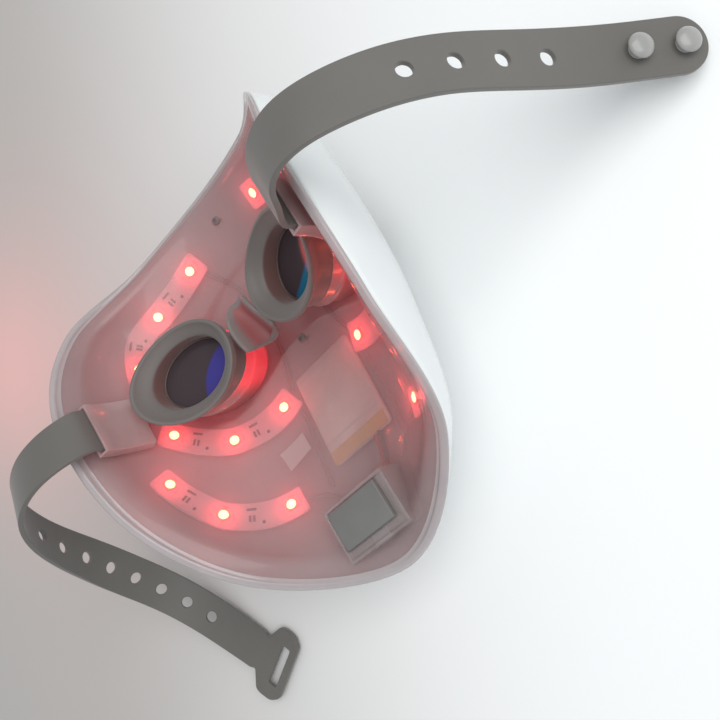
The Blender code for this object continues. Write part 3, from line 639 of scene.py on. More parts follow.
def build_eye_windows():
    """Dark oval windows that lie in the sockets of the outer shell, a little proud with a rounded edge."""
    corners = [(share * 14.7, share * 10.7, -0.55) for share in np.linspace(0.08, 1, 14)[:-1]]
    corners += [(14.7, 10.7, -0.35), (14.9, 10.9, 0.0), (14.9, 10.9, 1.2), (1.0, 0.8, 1.2)]
    for name, side in SIDES:
        rings = [window_ring(side, *corner) for corner in corners]
        window = mesh_object("window_" + name, *loft(rings), WINDOW, sharp=70)
        finish_piece(window, MASK, ("eye_window_" + name,))


def build_inner_liner():
    reaches = list(np.linspace(0, 0.90, FRONT_RINGS))
    front = [(r, LINER_FRONT) for r in reaches]
    front += [(0.93, 10.2), (0.955, 9.3), (0.972, 8.0), (0.985, 6.6), (0.993, 4.8), (0.998, 3.9)]
    rim = [(1.004, 3.5), (1.012, 3.4), (1.0165, 3.1), (1.018, 2.5)]
    rim += [(1.018, 0.5), (1.0165, 0.1), (1.012, 0.0), (1.006, 0.0)]
    back = [(1.006, 2.3), (0.994, 3.4), (0.975, 5.6), (0.955, 7.4), (0.93, 9.0)]
    back += [(r, LINER_BACK) for r in reversed(reaches)]

    def relief(x, y):
        return -RECESS_DEPTH * recess_at(x, y)

    vertices, faces = bowl_solid(front + rim + back, relief)
    liner = mesh_object("liner", vertices, faces, LINER_CLEAR, sharp=60)
    points = vertices_of(liner)
    x, y, z = points.T
    recess = recess_at(x, y)
    chin_fade = ramp(y, -100, -20) * 0.75 + 0.25
    rim_fade = 1 - ramp(z, 40, 85) * 0.5
    glow = glow_at(points, 4.2) * 2.2 + glow_at(points, 11.0) * 0.45
    glow += (0.05 + 0.10 * recess) * chin_fade * rim_fade
    add_attribute(liner, "glow", np.clip(glow, 0, 1))
    # Recess share near the cups, which darkens and reddens the liner as painted shade.
    near_cups = np.exp(-(((np.abs(x) - 34) / 34) ** 2 + ((y - 10) / 22) ** 2) ** 2)
    add_attribute(liner, "recess", recess * near_cups)
    first_ring, last_ring = FRONT_RINGS + 3, FRONT_RINGS + 14
    second_material(liner, RIM_CLEAR, 1 + first_ring * BOWL_SEGMENTS, 1 + last_ring * BOWL_SEGMENTS)
    finish_piece(liner, MASK, ("inner_liner",))


# ---------------------------------------------------------------- light boards

def wall_stop(stops, depth):
    """Wall points at (station, reach) stops."""
    stops = np.asarray(stops, float)
    return wall_point(stops[..., 0], stops[..., 1], np.asarray(depth, float) + np.zeros(stops.shape[:-1]))


def beyond(stop, before, distance):
    """Stop a distance past another on the wall, going straight on from the one before it."""
    step = (stop - before) * 1e-3
    speed = np.linalg.norm(wall_stop(stop + step, 0.0) - wall_stop(stop, 0.0)) * 1e3
    return stop + (stop - before) * distance / speed


class Board:
    """A light board's middle line on the wall, with places on it by length and offset."""

    def __init__(self, lights):
        stops = [np.array(locate(*light)) for light in lights]
        first, middle, last = stops
        corners = [beyond(first, middle, BOARD_OVERHANG), *stops, beyond(last, middle, BOARD_OVERHANG)]
        shares = np.linspace(0, 1, 24, endpoint=False)
        path = [start + (end - start) * u for start, end in zip(corners, corners[1:]) for u in shares]
        path = np.array(path + [corners[-1]])
        soften(path, 2)
        self.path = path
        steps = np.linalg.norm(np.diff(wall_stop(path, 0.0), axis=0), axis=1)
        self.lengths = np.concatenate([[0], np.cumsum(steps)])

    def stop(self, length):
        return np.array([np.interp(length, self.lengths, self.path[:, k]) for k in (0, 1)])

    def frame(self, length):
        """Stop, direction along, direction across, normal, and the stop's change per millimetre across."""
        stop = self.stop(length)
        reach = max(0.5, min(1.0, self.lengths[-1] - length + 1e-6, length + 1e-6))
        ahead = wall_stop(self.stop(length + reach), 0.0) - wall_stop(self.stop(length - reach), 0.0)
        normal = inward(*stop)
        along = unit(ahead - normal * (ahead @ normal))
        across = np.cross(normal, along)
        step = 1e-3
        slopes = np.stack([
            (wall_stop(stop + shift, 0.0) - wall_stop(stop - shift, 0.0)) / (2 * step)
            for shift in (np.array([step, 0.0]), np.array([0.0, step]))
        ], axis=1)
        return stop, along, across, normal, np.linalg.lstsq(slopes, across, rcond=None)[0]

    def length_at(self, place):
        return self.lengths[np.argmin(np.linalg.norm(self.path - np.array(locate(*place)), axis=1))]

    def place(self, length, offset, depth):
        stop, _, _, _, sideways = self.frame(length)
        return wall_stop(stop + sideways * offset, depth)


def build_board(name, board):
    """Thin strip along a board's line, with rounded corners at its ends."""
    total = board.lengths[-1]
    end_steps = BOARD_CORNER * (1 - np.cos(np.linspace(0, math.pi / 2, 6)))
    lengths = np.unique(np.concatenate([
        end_steps, np.arange(BOARD_CORNER, total - BOARD_CORNER, 0.9), total - end_steps,
    ]))
    shares = np.linspace(-1, 1, 19)
    rings = []
    for length in lengths:
        edge = min(length, total - length)
        corner_gap = max(0.0, BOARD_CORNER - edge)
        half = BOARD_WIDTH / 2 - BOARD_CORNER + math.sqrt(max(0.0, BOARD_CORNER**2 - corner_gap**2))
        stop, _, _, _, sideways = board.frame(length)
        places = stop + sideways * (shares * half)[:, None]
        low, high = wall_stop(places, BOARD_DEPTHS[0]), wall_stop(places[::-1], BOARD_DEPTHS[1])
        rings.append(np.concatenate([low, high]))
    made = mesh_object("board_" + name, *loft(rings), BOARD_WHITE, sharp=50)
    points = vertices_of(made)
    add_attribute(made, "glow", np.clip(glow_at(points, 3.3) * 1.9 + glow_at(points, 10.0) * 0.12, 0, 1))
    finish_piece(made, MASK, ("led_board_" + name,))


def build_board_details(name, board, lights):
    """Resistors, plated holes and solder dots on a board."""
    stops = [board.length_at(light) for light in lights]
    chips, holes, dots = [], [], []
    for first, second in zip(stops, stops[1:]):
        middle = (first + second) / 2
        chips += [(middle + 3.0, 0.9, 1.1, 3.0), (middle + 5.0, 0.9, 1.1, 3.0)]
        chips.append((middle + 4.0, -3.9, 4.4, 1.1))
        holes.append((middle - 1.5, 3.2, 0.8))
    for stop in stops:
        dots += [(stop - 4.6, k, 0.26) for k in (-1.3, 0.0, 1.3)]
        dots += [(stop + k, -4.6, 0.26) for k in (-1.2, 0.0, 1.2)]
        dots += [(stop + 5.4, k, 0.26) for k in (-1.6, 1.6)]
    rows = []
    for length, offset, long, wide in chips:
        place = board.place(length, offset, BOARD_DEPTHS[1])
        _, along, across, normal, _ = board.frame(length)
        low = rectangle(place, along, across, long, wide)
        top = rectangle(place + normal * 0.45, along, across, long - 0.2, wide - 0.2)
        rows.append(loft([low - normal * 0.1, low + normal * 0.35, top]))
    join_solids("chips_" + name, rows, CHIP_DARK)
    rows = []
    for length, offset, radius in dots + holes:
        place = board.place(length, offset, BOARD_DEPTHS[1])
        normal = board.frame(length)[3]
        rows.append(turned([(radius, -0.1), (radius, 0.10), (radius * 0.7, 0.14)], 16, place, normal))
    join_solids("dots_" + name, rows, WIRE_DARK)


def build_led(name, x, y):
    """White package with a round emitter window in its top."""
    normal = normal_on(x, y)
    place = on_wall(x, y, LED_DEPTH)
    x_axis = unit(np.cross([0.0, 1.0, 0.0], normal))
    y_axis = np.cross(normal, x_axis)
    outline = rounded_outline(LED_SIZE, LED_SIZE, 0.5, 5)
    angles = (np.arange(len(outline)) + 0.5) * 2 * math.pi / len(outline)
    window = LED_WINDOW_RADIUS * np.stack([np.cos(angles), np.sin(angles)], 1)

    def ring(shape, scale, height):
        return place + scale * (shape[:, :1] * x_axis + shape[:, 1:] * y_axis) + normal * height

    rings = [
        ring(outline, 1.0, 0.0), ring(outline, 1.0, 1.2), ring(outline, 0.96, 1.38),
        ring(window, 1.08, LED_HEIGHT), ring(window, 1.0, 1.20), ring(window, 0.86, 1.26),
        ring(window, 0.5, 1.34), ring(window, 0.2, 1.38),
    ]
    made = mesh_object("emitter_" + name, *loft(rings), LED_BODY)
    count = len(outline)
    second_material(made, LED_WINDOW, 4 * count)
    add_attribute(made, "core", np.repeat([0, 0, 0, 0, 0.22, 0.8, 1.0, 1.0], count))
    finish_piece(made, MASK, ("led_" + name,))


def build_light_boards():
    for region, lights in LED_PLACES.items():
        for side_name, side in SIDES:
            name = f"{region}_{side_name}"
            places = [(side * x, y) for x, y in lights]
            board = Board(places)
            build_board(name, board)
            build_board_details(name, board, places)
            frame["nodes"]["led_pad_" + name].data.materials[0] = FOAM
            for number, (x, y) in enumerate(places, 1):
                build_led(f"{name}_{number}", x, y)


def tube(points, radius, segments=10):
    """Round wire along points."""
    points = np.asarray(points, float)
    along = unit(np.gradient(points, axis=0))
    side = unit(np.cross(along, [0.3, 0.2, 1.0]))
    up = np.cross(side, along)
    angles = full_turn(segments)[:, None]
    sections = zip(points, side, up)
    return loft([p + radius * (np.cos(angles) * s + np.sin(angles) * u) for p, s, u in sections])


def wire_on_wall(corners, depth, radius):
    """Wire that follows the wall through x and y places."""
    path = open_curve([(x, y, 0) for x, y in corners], 10)
    return tube(on_wall(path[:, 0], path[:, 1], depth), radius)


def build_wires():
    """Pairs of wires between the boards on each side, and the two wires of the battery's lead."""
    pale = []
    for side, gap in ((1.0, 0.0), (1.0, 1.6), (-1.0, 0.0), (-1.0, 1.6)):
        for corners, depth, radius in (
            ([(37, -60 + gap), (30, -62 + gap), (24, -66 + gap), (19, -70)], 6.6, 0.55),
            ([(24 + gap, -15), (23 + gap, -26), (24 + gap, -44), (24 + gap, -60)], 5.2, 0.5),
            ([(25 + gap, 70), (17 + gap, 52), (15 + gap, 30), (18 + gap, 8), (23 + gap, -8)], 4.8, 0.5),
        ):
            pale.append(wire_on_wall([(side * x, y) for x, y in corners], depth, radius))
    join_solids("board_wires", pale, WIRE_PALE)
    red = wire_on_wall([(8.0, -53), (8.0, -58), (7.0, -64), (6.0, -69)], 6.2, 0.9)
    join_solids("battery_wire_red", [red], WIRE_RED, nodes=("battery_lead",))
    dark = wire_on_wall([(11.0, -53), (11.2, -58), (10.0, -64), (9.0, -69)], 6.2, 0.9)
    join_solids("battery_wire_dark", [dark], WIRE_DARK)


# ---------------------------------------------------------------- goggles

def cup_ring(side, level, radius_x, radius_y):
    """Tilted elliptical ring: level is 0 at the lip and 1 at the foot."""
    centre = CUP_LIP + (CUP_FOOT - CUP_LIP) * level
    tilt = math.radians(CUP_LIP_TILT + (CUP_FOOT_TILT - CUP_LIP_TILT) * level)
    saddle = CUP_SADDLE * max(0.0, 1 - 3 * level)
    roll = math.radians(CUP_ROLL)
    angles = full_turn(CUP_SEGMENTS)
    long = radius_x * np.cos(angles)
    short = radius_y * np.sin(angles)
    x = long * math.cos(roll) - short * math.sin(roll)
    y = long * math.sin(roll) + short * math.cos(roll)
    z = x * math.tan(tilt) + saddle * (x**2 - y**2) / 400
    return np.stack([side * (centre[0] + x), centre[1] + y, centre[2] + z], -1)


def build_goggles():
    """Cups, lenses, retainers and sleeves, from sections of (level, long radius, short radius)."""
    cup = [
        (-0.004, 23.6, 20.3), (-0.008, 24.6, 21.3), (0.004, 25.1, 21.8), (0.03, 25.2, 21.9),
        (0.06, 24.9, 21.6), (0.10, 24.0, 20.7), (0.15, 22.6, 19.3), (0.20, 21.5, 18.4),
        (0.25, 21.0, 18.0), (0.32, 20.9, 17.9), (0.44, 20.9, 17.9), (0.449, 20.8, 17.8),
        (0.449, 19.2, 16.2), (0.44, 19.0, 16.0), (0.38, 19.0, 16.0), (0.370, 18.9, 15.9),
        (0.365, 18.0, 15.1), (0.33, 17.8, 14.9), (0.24, 17.7, 14.8), (0.165, 17.7, 14.8),
        (0.135, 18.0, 15.1), (0.105, 19.2, 16.2), (0.065, 21.2, 17.9), (0.025, 22.7, 19.4),
    ]
    shares = np.linspace(0.04, 1, 34)
    lens = [(0.384 + 0.012 * (1 - share**2), share * 18.4, share * 15.4) for share in shares]
    lens += [(0.40, 18.55, 15.55), (0.436, 18.55, 15.55), (0.444, 18.3, 15.3), (0.444, 1.0, 0.8)]
    retainer = [
        (0.355, 17.9, 15.0), (0.352, 17.4, 14.5), (0.360, 17.1, 14.2),
        (0.380, 17.1, 14.2), (0.382, 17.9, 15.0),
    ]
    ring = [
        (0.46, 20.6, 17.6), (0.465, 20.9, 17.9), (0.60, 20.9, 17.9), (0.62, 21.1, 18.1), (0.63, 21.7, 18.7),
        (0.64, 21.8, 18.8), (0.69, 21.8, 18.8), (0.70, 21.7, 18.7), (0.71, 21.1, 18.1), (0.73, 20.9, 17.9),
        (0.99, 20.9, 17.9), (1.0, 20.7, 17.7), (1.0, 18.6, 15.6), (0.99, 18.4, 15.4), (0.465, 18.2, 15.2),
        (0.46, 18.4, 15.4),
    ]
    section = curve_at(np.array(cup), np.arange(len(cup) * 4) / 4)
    # Inner wall of the cup, coloured redder as painted red light from the emitters.
    hollow = [ramp(level, 0.125, 0.165) * (radius < 18.7) for level, radius, _ in section]
    for name, side in SIDES:

        def turn(corners, closed=True):
            return loft([cup_ring(side, *corner) for corner in corners], closed)

        made = mesh_object("goggle_" + name, *turn(section), CUP_SILICONE, sharp=75)
        add_attribute(made, "hollow", np.repeat(hollow, CUP_SEGMENTS))
        finish_piece(made, MASK, ("eye_cup_" + name,))
        glass = mesh_object("glass_" + name, *turn(lens, closed=False), LENS_DARK, sharp=50)
        # Painted reflection of the coating: blue on both lenses, teal on the right one.
        painted_reflection = lens_reflection(vertices_of(glass), side)
        add_attribute(glass, "painted_reflection", painted_reflection)
        add_attribute(glass, "teal_reflection", painted_reflection * (side > 0))
        finish_piece(glass, MASK, ("lens_" + name,))
        join_solids("retainer_" + name, [turn(retainer)], RING_BROWN)
        made = mesh_object("sleeve_" + name, *turn(ring), RING_CLEAR, sharp=50)
        x, _, z = vertices_of(made).T
        lit = ramp(x - side * 41.0, 2, 16) * (1 - ramp(z, 34, 44))
        add_attribute(made, "lit", lit)
        add_attribute(made, "glow", lit)
        finish_piece(made, MASK, ("lens_ring_" + name,))


def lens_reflection(points, side):
    """Share of the coating's painted reflection: a crescent on the left lens, a lower segment on the right.
    """
    x, y, _ = points.T
    if side > 0:
        return ramp((x - 38.5) * 0.22 - (y - 17.8) * 0.97, 2.4, 4.2)
    distance = np.hypot(x + 38.0 - 20.0, y - 17.8 + 16.2)
    return ramp(-distance, -23.6, -22.6)


def build_nose_bridge():
    """Saddle between the cups: a trough whose wings rise beside the nose."""
    where = np.linspace(0, 1, 26)
    halves = np.interp(where, [0, 0.1, 0.25, 0.5, 0.75, 1], [3.8, 5.2, 6.4, 7.8, 9.1, 9.6])
    wing = np.interp(where, [0, 0.12, 0.3, 0.5, 0.75, 1], [40.6, 42.8, 44.8, 44.8, 42.6, 39.2])
    valley = np.interp(where, [0, 0.25, 0.5, 0.75, 1], [40.2, 38.0, 34.5, 31.0, 28.6])
    along = BRIDGE_TOP_Y + (BRIDGE_LOW_Y - BRIDGE_TOP_Y) * where
    for values in (halves, wing, valley):
        soften(values, 3)
    rings, ends = [], []
    turns = np.linspace(-1, 1, 19)
    for y, half, top, low in zip(along, halves, wing, valley):
        height = low + (top - low) * np.abs(turns) ** 1.6
        from_end = (y - BRIDGE_LOW_Y) / (BRIDGE_TOP_Y - BRIDGE_LOW_Y)
        notch = 2.0 * (1 - turns**2) * from_end**1.5
        inside = np.stack([turns * half, y - notch, height], -1)
        slope = np.gradient(height, turns * half)
        lean = unit(np.stack([slope, np.zeros_like(turns), -np.ones_like(turns)], -1))
        edge = min(y - BRIDGE_LOW_Y, BRIDGE_TOP_Y - y)
        thin = min(1.0, 0.25 + 0.75 * edge / 1.2)
        rings.append(np.concatenate([inside, (inside + lean * BRIDGE_WALL * thin)[::-1]]))
        ends.append(ramp(edge, 0.6, 2.4))
    made = mesh_object("bridge", *loft(rings), BRIDGE, sharp=60)
    # Middle of the trough, fading at the ends, where the painted red-tinted shade lies.
    inner = np.concatenate([1 - ramp(np.abs(turns), 0.55, 0.85), np.zeros_like(turns)])
    add_attribute(made, "valley", np.concatenate([inner * end for end in ends]))
    rounded = made.modifiers.new("round", "SUBSURF")
    rounded.levels = rounded.render_levels = 1
    finish_piece(made, MASK, ("nose_bridge",))


# ---------------------------------------------------------------- battery, box and small parts

def pitched(points, centre, angle):
    """Turn points about the X axis and move them to a centre."""
    a = math.radians(angle)
    turn = np.array([[1, 0, 0], [0, math.cos(a), -math.sin(a)], [0, math.sin(a), math.cos(a)]])
    return np.asarray(points) @ turn.T + centre


def rounded_outline(width, length, corner, steps=6):
    """Rectangle with rounded corners, as a ring of points."""
    rows = []
    for quarter, (sx, sy) in enumerate(((1, 1), (-1, 1), (-1, -1), (1, -1))):
        for k in range(steps):
            angle = (quarter + k / (steps - 1)) * math.pi / 2
            rows.append((sx * (width / 2 - corner) + corner * math.cos(angle),
                         sy * (length / 2 - corner) + corner * math.sin(angle)))
    return np.array(rows)


def plate(width, length, corner, sections):
    """Rounded plate from (inset, z) sections."""
    rings = []
    for inset, z in sections:
        outline = rounded_outline(width - 2 * inset, length - 2 * inset, max(0.2, corner - inset))
        rings.append(np.column_stack([outline, np.full(len(outline), z)]))
    return loft(rings)


def build_battery():
    width, length, thick = BATTERY_SIZE
    half = thick / 2

    def on_battery(solid, y=0.0):
        points, faces = solid
        return pitched(points + np.array([0, y, 0]), BATTERY_CENTRE, BATTERY_PITCH), faces

    pouch = plate(width, length, 2.4, [
        (1.4, -half), (0.5, -half + 0.3), (0.0, -half + 0.9), (0.0, half - 0.9), (0.4, half - 0.35),
        (1.2, half), (3.0, half + 0.05), (8.0, half + 0.12),
    ])
    made = mesh_object("battery_pouch", *on_battery(pouch), BATTERY_FOIL, sharp=60)
    finish_piece(made, MASK, ("battery",))
    tape = plate(35.5, 6.4, 0.4, [(0.0, half + 0.05), (0.0, half + 0.18), (0.15, half + 0.24)])
    join_solids("battery_tape", [on_battery(tape, -20.4)], TAPE)
    seam = plate(33.0, 1.2, 0.3, [(0.0, half + 0.1), (0.0, half + 0.3), (0.2, half + 0.35)])
    join_solids("battery_seams", [on_battery(seam, y) for y in (20.2, -13.2)], LABEL)


def build_label():
    """Small blank label inside the liner beside the battery."""
    corners = ((-42, -32.6), (-27, -30), (-25.6, -39.6), (-40, -43))
    first, second, third, fourth = (np.array(corner, float) for corner in corners)
    across = np.linspace(0, 1, 9)[:, None]
    rows = []
    for down in np.linspace(0, 1, 9):
        line = (first + (fourth - first) * down) * (1 - across) + (second + (third - second) * down) * across
        low = on_wall(line[:, 0], line[:, 1], LINER_BACK - 0.5)
        high = on_wall(line[::-1, 0], line[::-1, 1], LINER_BACK - 0.2)
        rows.append(np.concatenate([low, high]))
    join_solids("blank_label", [loft(rows)], LABEL)


def build_small_parts():
    bevelled_copy("control_box", "box_frame", BOX_CLEAR, 0.45)
    bevelled_copy("control_lid", "box_lid", LID_GREY, 0.4)
    bevelled_copy("usb_socket", "socket", STEEL, 0.35)
    bevelled_copy("control_board", "board_control", CIRCUIT, 0.2)
    bevelled_copy("tact_switch", "switch", SWITCH_BLACK, 0.3)
    for name in ("right", "left"):
        bevelled_copy("strap_pocket_" + name, "pocket_" + name, POCKET_CLEAR, 0.45)
    build_screws()
    build_button()


def build_screws():
    for name, y in SCREW_PLACES.items():
        normal = normal_on(0.0, y)
        place = on_wall(0.0, y, LINER_FRONT - 0.2)
        rows = [turned([
            (1.0, -4.0), (1.1, -0.2), (2.0, 0.0), (2.15, 0.2), (2.1, 0.6), (1.8, 0.85), (1.15, 0.95),
            (1.0, 0.85), (0.85, 0.3),
        ], 40, place, normal)]
        join_solids(name + "_head", rows, SCREW_GREY, nodes=(name,))


def build_button():
    """Round button in the outer shell, dished, with a fine ring."""
    normal = normal_on(0.0, BUTTON_Y)
    place = outer_point(*locate(0.0, BUTTON_Y))
    rows = [turned([
        (0.5, -1.05), (2.6, -1.10), (3.6, -1.30), (4.2, -1.42), (4.7, -1.30), (4.95, -0.95), (5.0, -0.6),
        (5.0, 3.1), (6.0, 3.15), (6.0, 3.8),
    ], 56, place, normal)]
    join_solids("button_cap", rows, STUD_PALE, body="button_body", nodes=("power_button",))


# ---------------------------------------------------------------- straps

def pocket_station():
    """Rim station beside the pocket, on the wearer's right."""
    stations = np.linspace(2.5, 4.0, 601)
    ring = outer_point(stations, np.full(601, 0.9))
    return float(stations[np.argmin(np.abs(ring[:, 1] - POCKET_Y))])


def strap_place(side, reach):
    """Middle of the strap on the side wall, and its width direction."""
    station = np.array(pocket_station())
    reach = np.array(float(reach))
    normal = inward(station, reach)
    along = unit(outer_point(station, reach + 0.01) - outer_point(station, reach - 0.01))
    across = np.cross(normal, along)
    across *= math.copysign(1, across[1])
    mirror = np.array([side, 1, 1])
    point = outer_point(station, reach) + normal * STRAP_DEPTH
    return point * mirror, across * mirror, along * mirror


class Ribbon:
    """Middle line and directions of a whole strap from its end in the pocket, by length from the mouth."""

    def __init__(self, side, route):
        held = [strap_place(side, reach) for reach in np.linspace(ANCHOR_REACH, STRAP_REACH, 5)]
        root, across, out = held[-1]
        knots = [p for p, _, _ in held] + [root + out * ROOT_LENGTH] + [p for p, _ in route]
        guides = [a for _, a, _ in held] + [across] + [d for _, d in route]
        self.points = open_curve(knots, STRAP_SAMPLES)
        mouth = STRAP_SAMPLES * (len(held) - 1)
        soften(self.points[mouth - 3:], STRAP_SMOOTHING)
        guide = open_curve(guides, STRAP_SAMPLES)
        self.along = unit(np.gradient(self.points, axis=0))
        guide = guide - self.along * (guide * self.along).sum(axis=1, keepdims=True)
        self.across = unit(guide)
        self.normal = np.cross(self.along, self.across)
        steps = np.linalg.norm(np.diff(self.points, axis=0), axis=1)
        lengths = np.concatenate([[0], np.cumsum(steps)])
        self.lengths = lengths - lengths[mouth]
        self.root = root
        self.root_along = out

    def tables(self, lengths):
        values = []
        for table in (self.points, self.along, self.across, self.normal):
            values.append(np.stack([np.interp(lengths, self.lengths, table[:, k]) for k in range(3)], -1))
        return values

    def bend(self, flat):
        """Carry flat points (length, offset across, height) onto the ribbon."""
        point, _, across, normal = self.tables(flat[:, 0])
        return point + unit(across) * flat[:, 1:2] + unit(normal) * flat[:, 2:3]


def cross_cut(shape, x, **sides):
    """Cut a flat shape across its length."""
    everything = shape.verts[:] + shape.edges[:] + shape.faces[:]
    bmesh.ops.bisect_plane(shape, geom=everything, plane_co=(x, 0, 0), plane_no=(1, 0, 0), dist=1e-5, **sides)


def flat_strap(name, outline, holes, thickness, edge):
    """Flat strap as a filled curve with holes, its edges rounded, cut into narrow bands along its length."""
    curve = bpy.data.curves.new(name, "CURVE")
    curve.dimensions = "2D"
    curve.fill_mode = "BOTH"
    curve.extrude = thickness / 2 - edge
    curve.bevel_depth = edge
    curve.bevel_resolution = 2
    curve.offset = -edge
    for loop in [outline, *holes]:
        spline = curve.splines.new("POLY")
        spline.points.add(len(loop) - 1)
        for point, (x, y) in zip(spline.points, loop):
            point.co = (x, y, 0, 1)
        spline.use_cyclic_u = True
    holder = add_object(name + "_flat", curve)
    bpy.context.view_layer.update()
    mesh = bpy.data.meshes.new_from_object(holder.evaluated_get(bpy.context.evaluated_depsgraph_get()))
    bpy.data.objects.remove(holder)
    shape = bmesh.new()
    shape.from_mesh(mesh)
    bmesh.ops.remove_doubles(shape, verts=shape.verts, dist=1e-4)
    low = min(x for x, _ in outline)
    high = max(x for x, _ in outline)
    for x in np.arange(low + 1.3, high - 0.6, 1.6):
        cross_cut(shape, x)
    return shape


def cut_strap(shape, length, keep_root):
    """Points and faces of a flat strap on one side of a length, closed where it is cut."""
    piece = shape.copy()
    cross_cut(piece, length, clear_outer=keep_root, clear_inner=not keep_root)
    bmesh.ops.holes_fill(piece, edges=[edge for edge in piece.edges if edge.is_boundary], sides=0)
    piece.verts.index_update()
    vertices = np.array([v.co[:] for v in piece.verts])
    faces = [[v.index for v in face.verts] for face in piece.faces]
    piece.free()
    return vertices, faces


def circle(centre, radius, count=36):
    return [(centre + radius * math.cos(angle), radius * math.sin(angle)) for angle in full_turn(count)]


def dense(corners, longest=2.0):
    """Add points along the straight sides of a closed outline."""
    rows = []
    for (x0, y0), (x1, y1) in zip(corners, corners[1:] + corners[:1]):
        steps = max(1, int(math.hypot(x1 - x0, y1 - y0) / longest))
        rows += [(x0 + (x1 - x0) * k / steps, y0 + (y1 - y0) * k / steps) for k in range(steps)]
    return rows


def rounded_corners(corners, radius, steps=5):
    """Round each corner of a closed outline with a small arc."""
    rows = []
    count = len(corners)
    for k in range(count):
        before, here, after = (np.array(corners[(k + j) % count], float) for j in (-1, 0, 1))
        cut = min(radius, np.linalg.norm(before - here) * 0.45, np.linalg.norm(after - here) * 0.45)
        start = here + unit(before - here) * cut
        end = here + unit(after - here) * cut
        for t in np.linspace(0, 1, steps):
            rows.append(tuple((1 - t) ** 2 * start + 2 * t * (1 - t) * here + t**2 * end))
    return rows


def build_strap(name, side, route, outline_of, hole_lengths, extra_holes):
    """One strap as a free piece and a root that stays in place, and the ribbon that it follows."""
    ribbon = Ribbon(side, route)
    start = ribbon.lengths[0]
    end = ribbon.lengths[-1]
    outline = dense(rounded_corners(outline_of(start, end), 2.0))
    holes = [circle(length, STRAP_HOLE_RADIUS) for length in hole_lengths]
    holes += [dense(rounded_corners(loop, 1.0)) for loop in extra_holes(end)]
    shape = flat_strap(name, outline, holes, STRAP_THICKNESS, 0.35)
    body = name + "_body"
    side_name = name.split("_")[1]
    vertices, faces = cut_strap(shape, BEND_CUT, keep_root=False)
    free = mesh_object("head_" + name, ribbon.bend(vertices), faces, SILICONE, sharp=50)
    finish_piece(free, body, (name,))
    vertices, faces = cut_strap(shape, BEND_CUT, keep_root=True)
    root = mesh_object("strap_root_" + side_name, ribbon.bend(vertices), faces, SILICONE, sharp=50)
    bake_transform(root)
    finish_piece(root, None, ("strap_anchor_" + side_name,))
    shape.free()
    return ribbon


def build_straps():
    half = STRAP_WIDTH / 2
    wide = BUCKLE_WIDTH / 2

    def left_outline(start, end):
        neck = end - BUCKLE_LENGTH
        upper = [(start, half), (neck - 3.0, half), (neck - 0.5, half - 1.2), (neck + 4.0, wide - 1.0),
                 (neck + 7.0, wide), (end - 4.5, wide), (end, wide - 4.0)]
        return upper + [(x, -y) for x, y in reversed(upper)]

    def left_slot(end):
        long, short = SLOT_SIZE[0] / 2, SLOT_SIZE[1] / 2
        middle = end - SLOT_BACK
        return [[(middle + a * short, b * long) for a, b in ((-1, -1), (1, -1), (1, 1), (-1, 1))]]

    def right_outline(start, end):
        angles = np.linspace(math.pi / 2, -math.pi / 2, 25)
        tip = [(end - half + half * math.cos(a), half * math.sin(a)) for a in angles]
        return [(start, half)] + tip + [(start, -half)]

    build_strap("strap_left", -1.0, LEFT_ROUTE, left_outline, LEFT_HOLES, left_slot)
    ribbon = build_strap("strap_right", 1.0, RIGHT_ROUTE, right_outline, RIGHT_HOLES, lambda end: [])
    for number, length in enumerate(STUD_LENGTHS, 1):
        point, _, across, normal = (table[0] for table in ribbon.tables(np.array([length])))
        up = unit(normal) * math.copysign(1, normal[2])
        base = point + up * STRAP_THICKNESS / 2
        rows = [turned([
            (3.4, -0.2), (3.2, 0.15), (2.5, 0.6), (2.3, 1.4), (2.5, 1.9), (3.6, 2.1), (4.4, 2.35),
            (4.6, 2.75), (4.35, 3.3), (3.7, 3.9), (2.7, 4.35), (1.4, 4.6), (0.4, 4.65),
        ], 44, base, up, across)]
        node = f"strap_stud_{number}"
        join_solids(f"stud_{number}", rows, STUD_PALE, "strap_right_body", (node,), sharp=60)


# ---------------------------------------------------------------- surroundings

def table_material():
    """White table top with painted shade: greyer and warmer towards the wearer's left, away from the window
    lamp.
    """
    made = finish("table_white", (0.80, 0.80, 0.80), 0.60, 0.01, 4.0)
    tree, shader = tree_of(made)
    place = node_at(tree, "ShaderNodeTexCoord")
    across = node_at(tree, "ShaderNodeVectorMath", operation="DOT_PRODUCT")
    across.inputs[1].default_value = (0.86, -0.40, 0.0)
    tree.links.new(place.outputs["Object"], across.inputs[0])
    share = node_at(tree, "ShaderNodeMapRange", interpolation_type="SMOOTHSTEP")
    share.inputs["From Min"].default_value = -0.24
    share.inputs["From Max"].default_value = 0.10
    tree.links.new(across.outputs["Value"], share.inputs["Value"])
    # Painted shade: the table's colour falls from near white to grey-beige towards the wearer's left.
    stops = [(0.0, (0.56, 0.54, 0.52)), (1.0, (0.94, 0.96, 0.97))]
    tree.links.new(colour_ramp(tree, share.outputs["Result"], stops), shader.inputs["Base Color"])
    return made


def build_floor():
    bpy.ops.mesh.primitive_plane_add(size=8.0, location=(0, 0, 0))
    floor = bpy.context.object
    floor.name = "table"
    floor.data.materials.append(table_material())


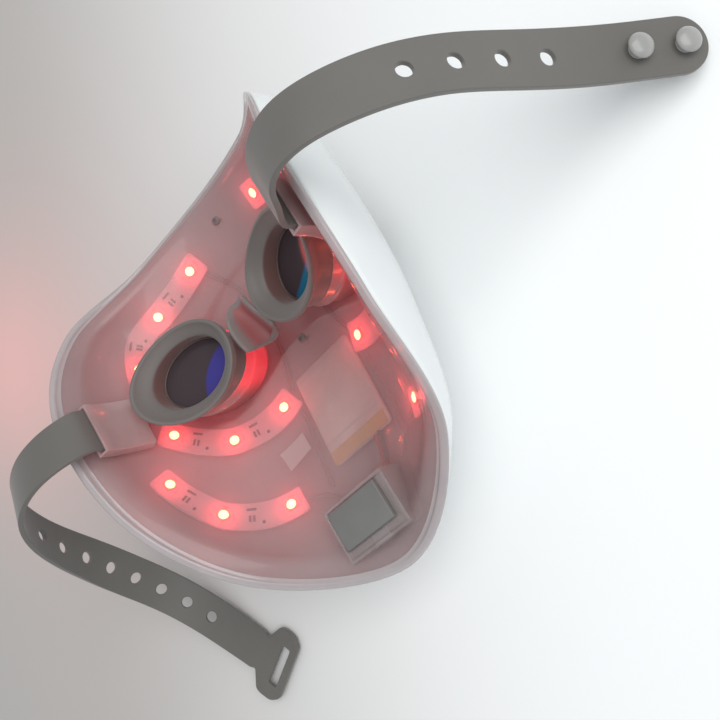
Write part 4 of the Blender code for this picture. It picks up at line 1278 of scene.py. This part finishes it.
def add_light(name, kind, place, energy, size, colour=(1, 1, 1), target=None):
    data = bpy.data.lights.new(name, kind)
    data.energy = energy
    data.color = colour
    if kind == "AREA":
        data.size = size
    else:
        data.shadow_soft_size = size
    made = add_object(name, data)
    made.location = place
    if target is not None:
        made.rotation_euler = (Vector(target) - Vector(place)).to_track_quat("-Z", "Y").to_euler()
    return made


def build_lights():
    world = bpy.data.worlds.new("studio")
    bpy.context.scene.world = world
    world.use_nodes = True
    world.node_tree.nodes["Background"].inputs["Color"].default_value = (0.95, 0.98, 1.0, 1)
    world.node_tree.nodes["Background"].inputs["Strength"].default_value = 0.55
    add_light("window", "AREA", (0.62, -0.10, 0.80), 6.8, 1.0, (1.0, 0.99, 0.97), (0.05, 0, 0))
    add_light("fill", "AREA", (0.02, -0.32, 0.34), 0.14, 0.35, (1.0, 0.99, 0.98), (0.03, -0.16, 0))
    add_light("red_spill", "AREA", (-0.25, 0.17, 0.10), 0.060, 0.05, (1.0, 0.10, 0.08), (-0.21, 0.15, 0))
    for key, place in LED_POINTS.items():
        normal = normal_on(place[0], place[1])
        where = (place + normal * 1.2 + PLACE) * MM
        add_light("glow_%s_%s_%d" % key, "POINT", tuple(where), 0.003, 0.0015, (1.0, 0.06, 0.05))


def build_camera():
    """Camera above the chin on the wearer's right, close to the mask."""
    data = bpy.data.cameras.new("camera")
    data.sensor_width = 36.0
    data.lens = 38.1
    camera = add_object("camera", data)
    back = Vector((0.475, -0.3275, 0.8168)).normalized()
    right = Vector((0.608, 0.793, -0.036)).cross(back).normalized()
    up = back.cross(right)
    camera.rotation_euler = Matrix((right, up, back)).transposed().to_euler()
    camera.location = (np.array([179.1, -130.6, 284.5]) + PLACE) * MM
    bpy.context.scene.camera = camera
    bpy.context.scene.view_settings.view_transform = "Standard"


build_camera()
build_lights()
build_floor()
build_outer_shell()
build_eye_windows()
build_inner_liner()
build_light_boards()
build_wires()
build_goggles()
build_nose_bridge()
build_battery()
build_label()
build_small_parts()
build_straps()
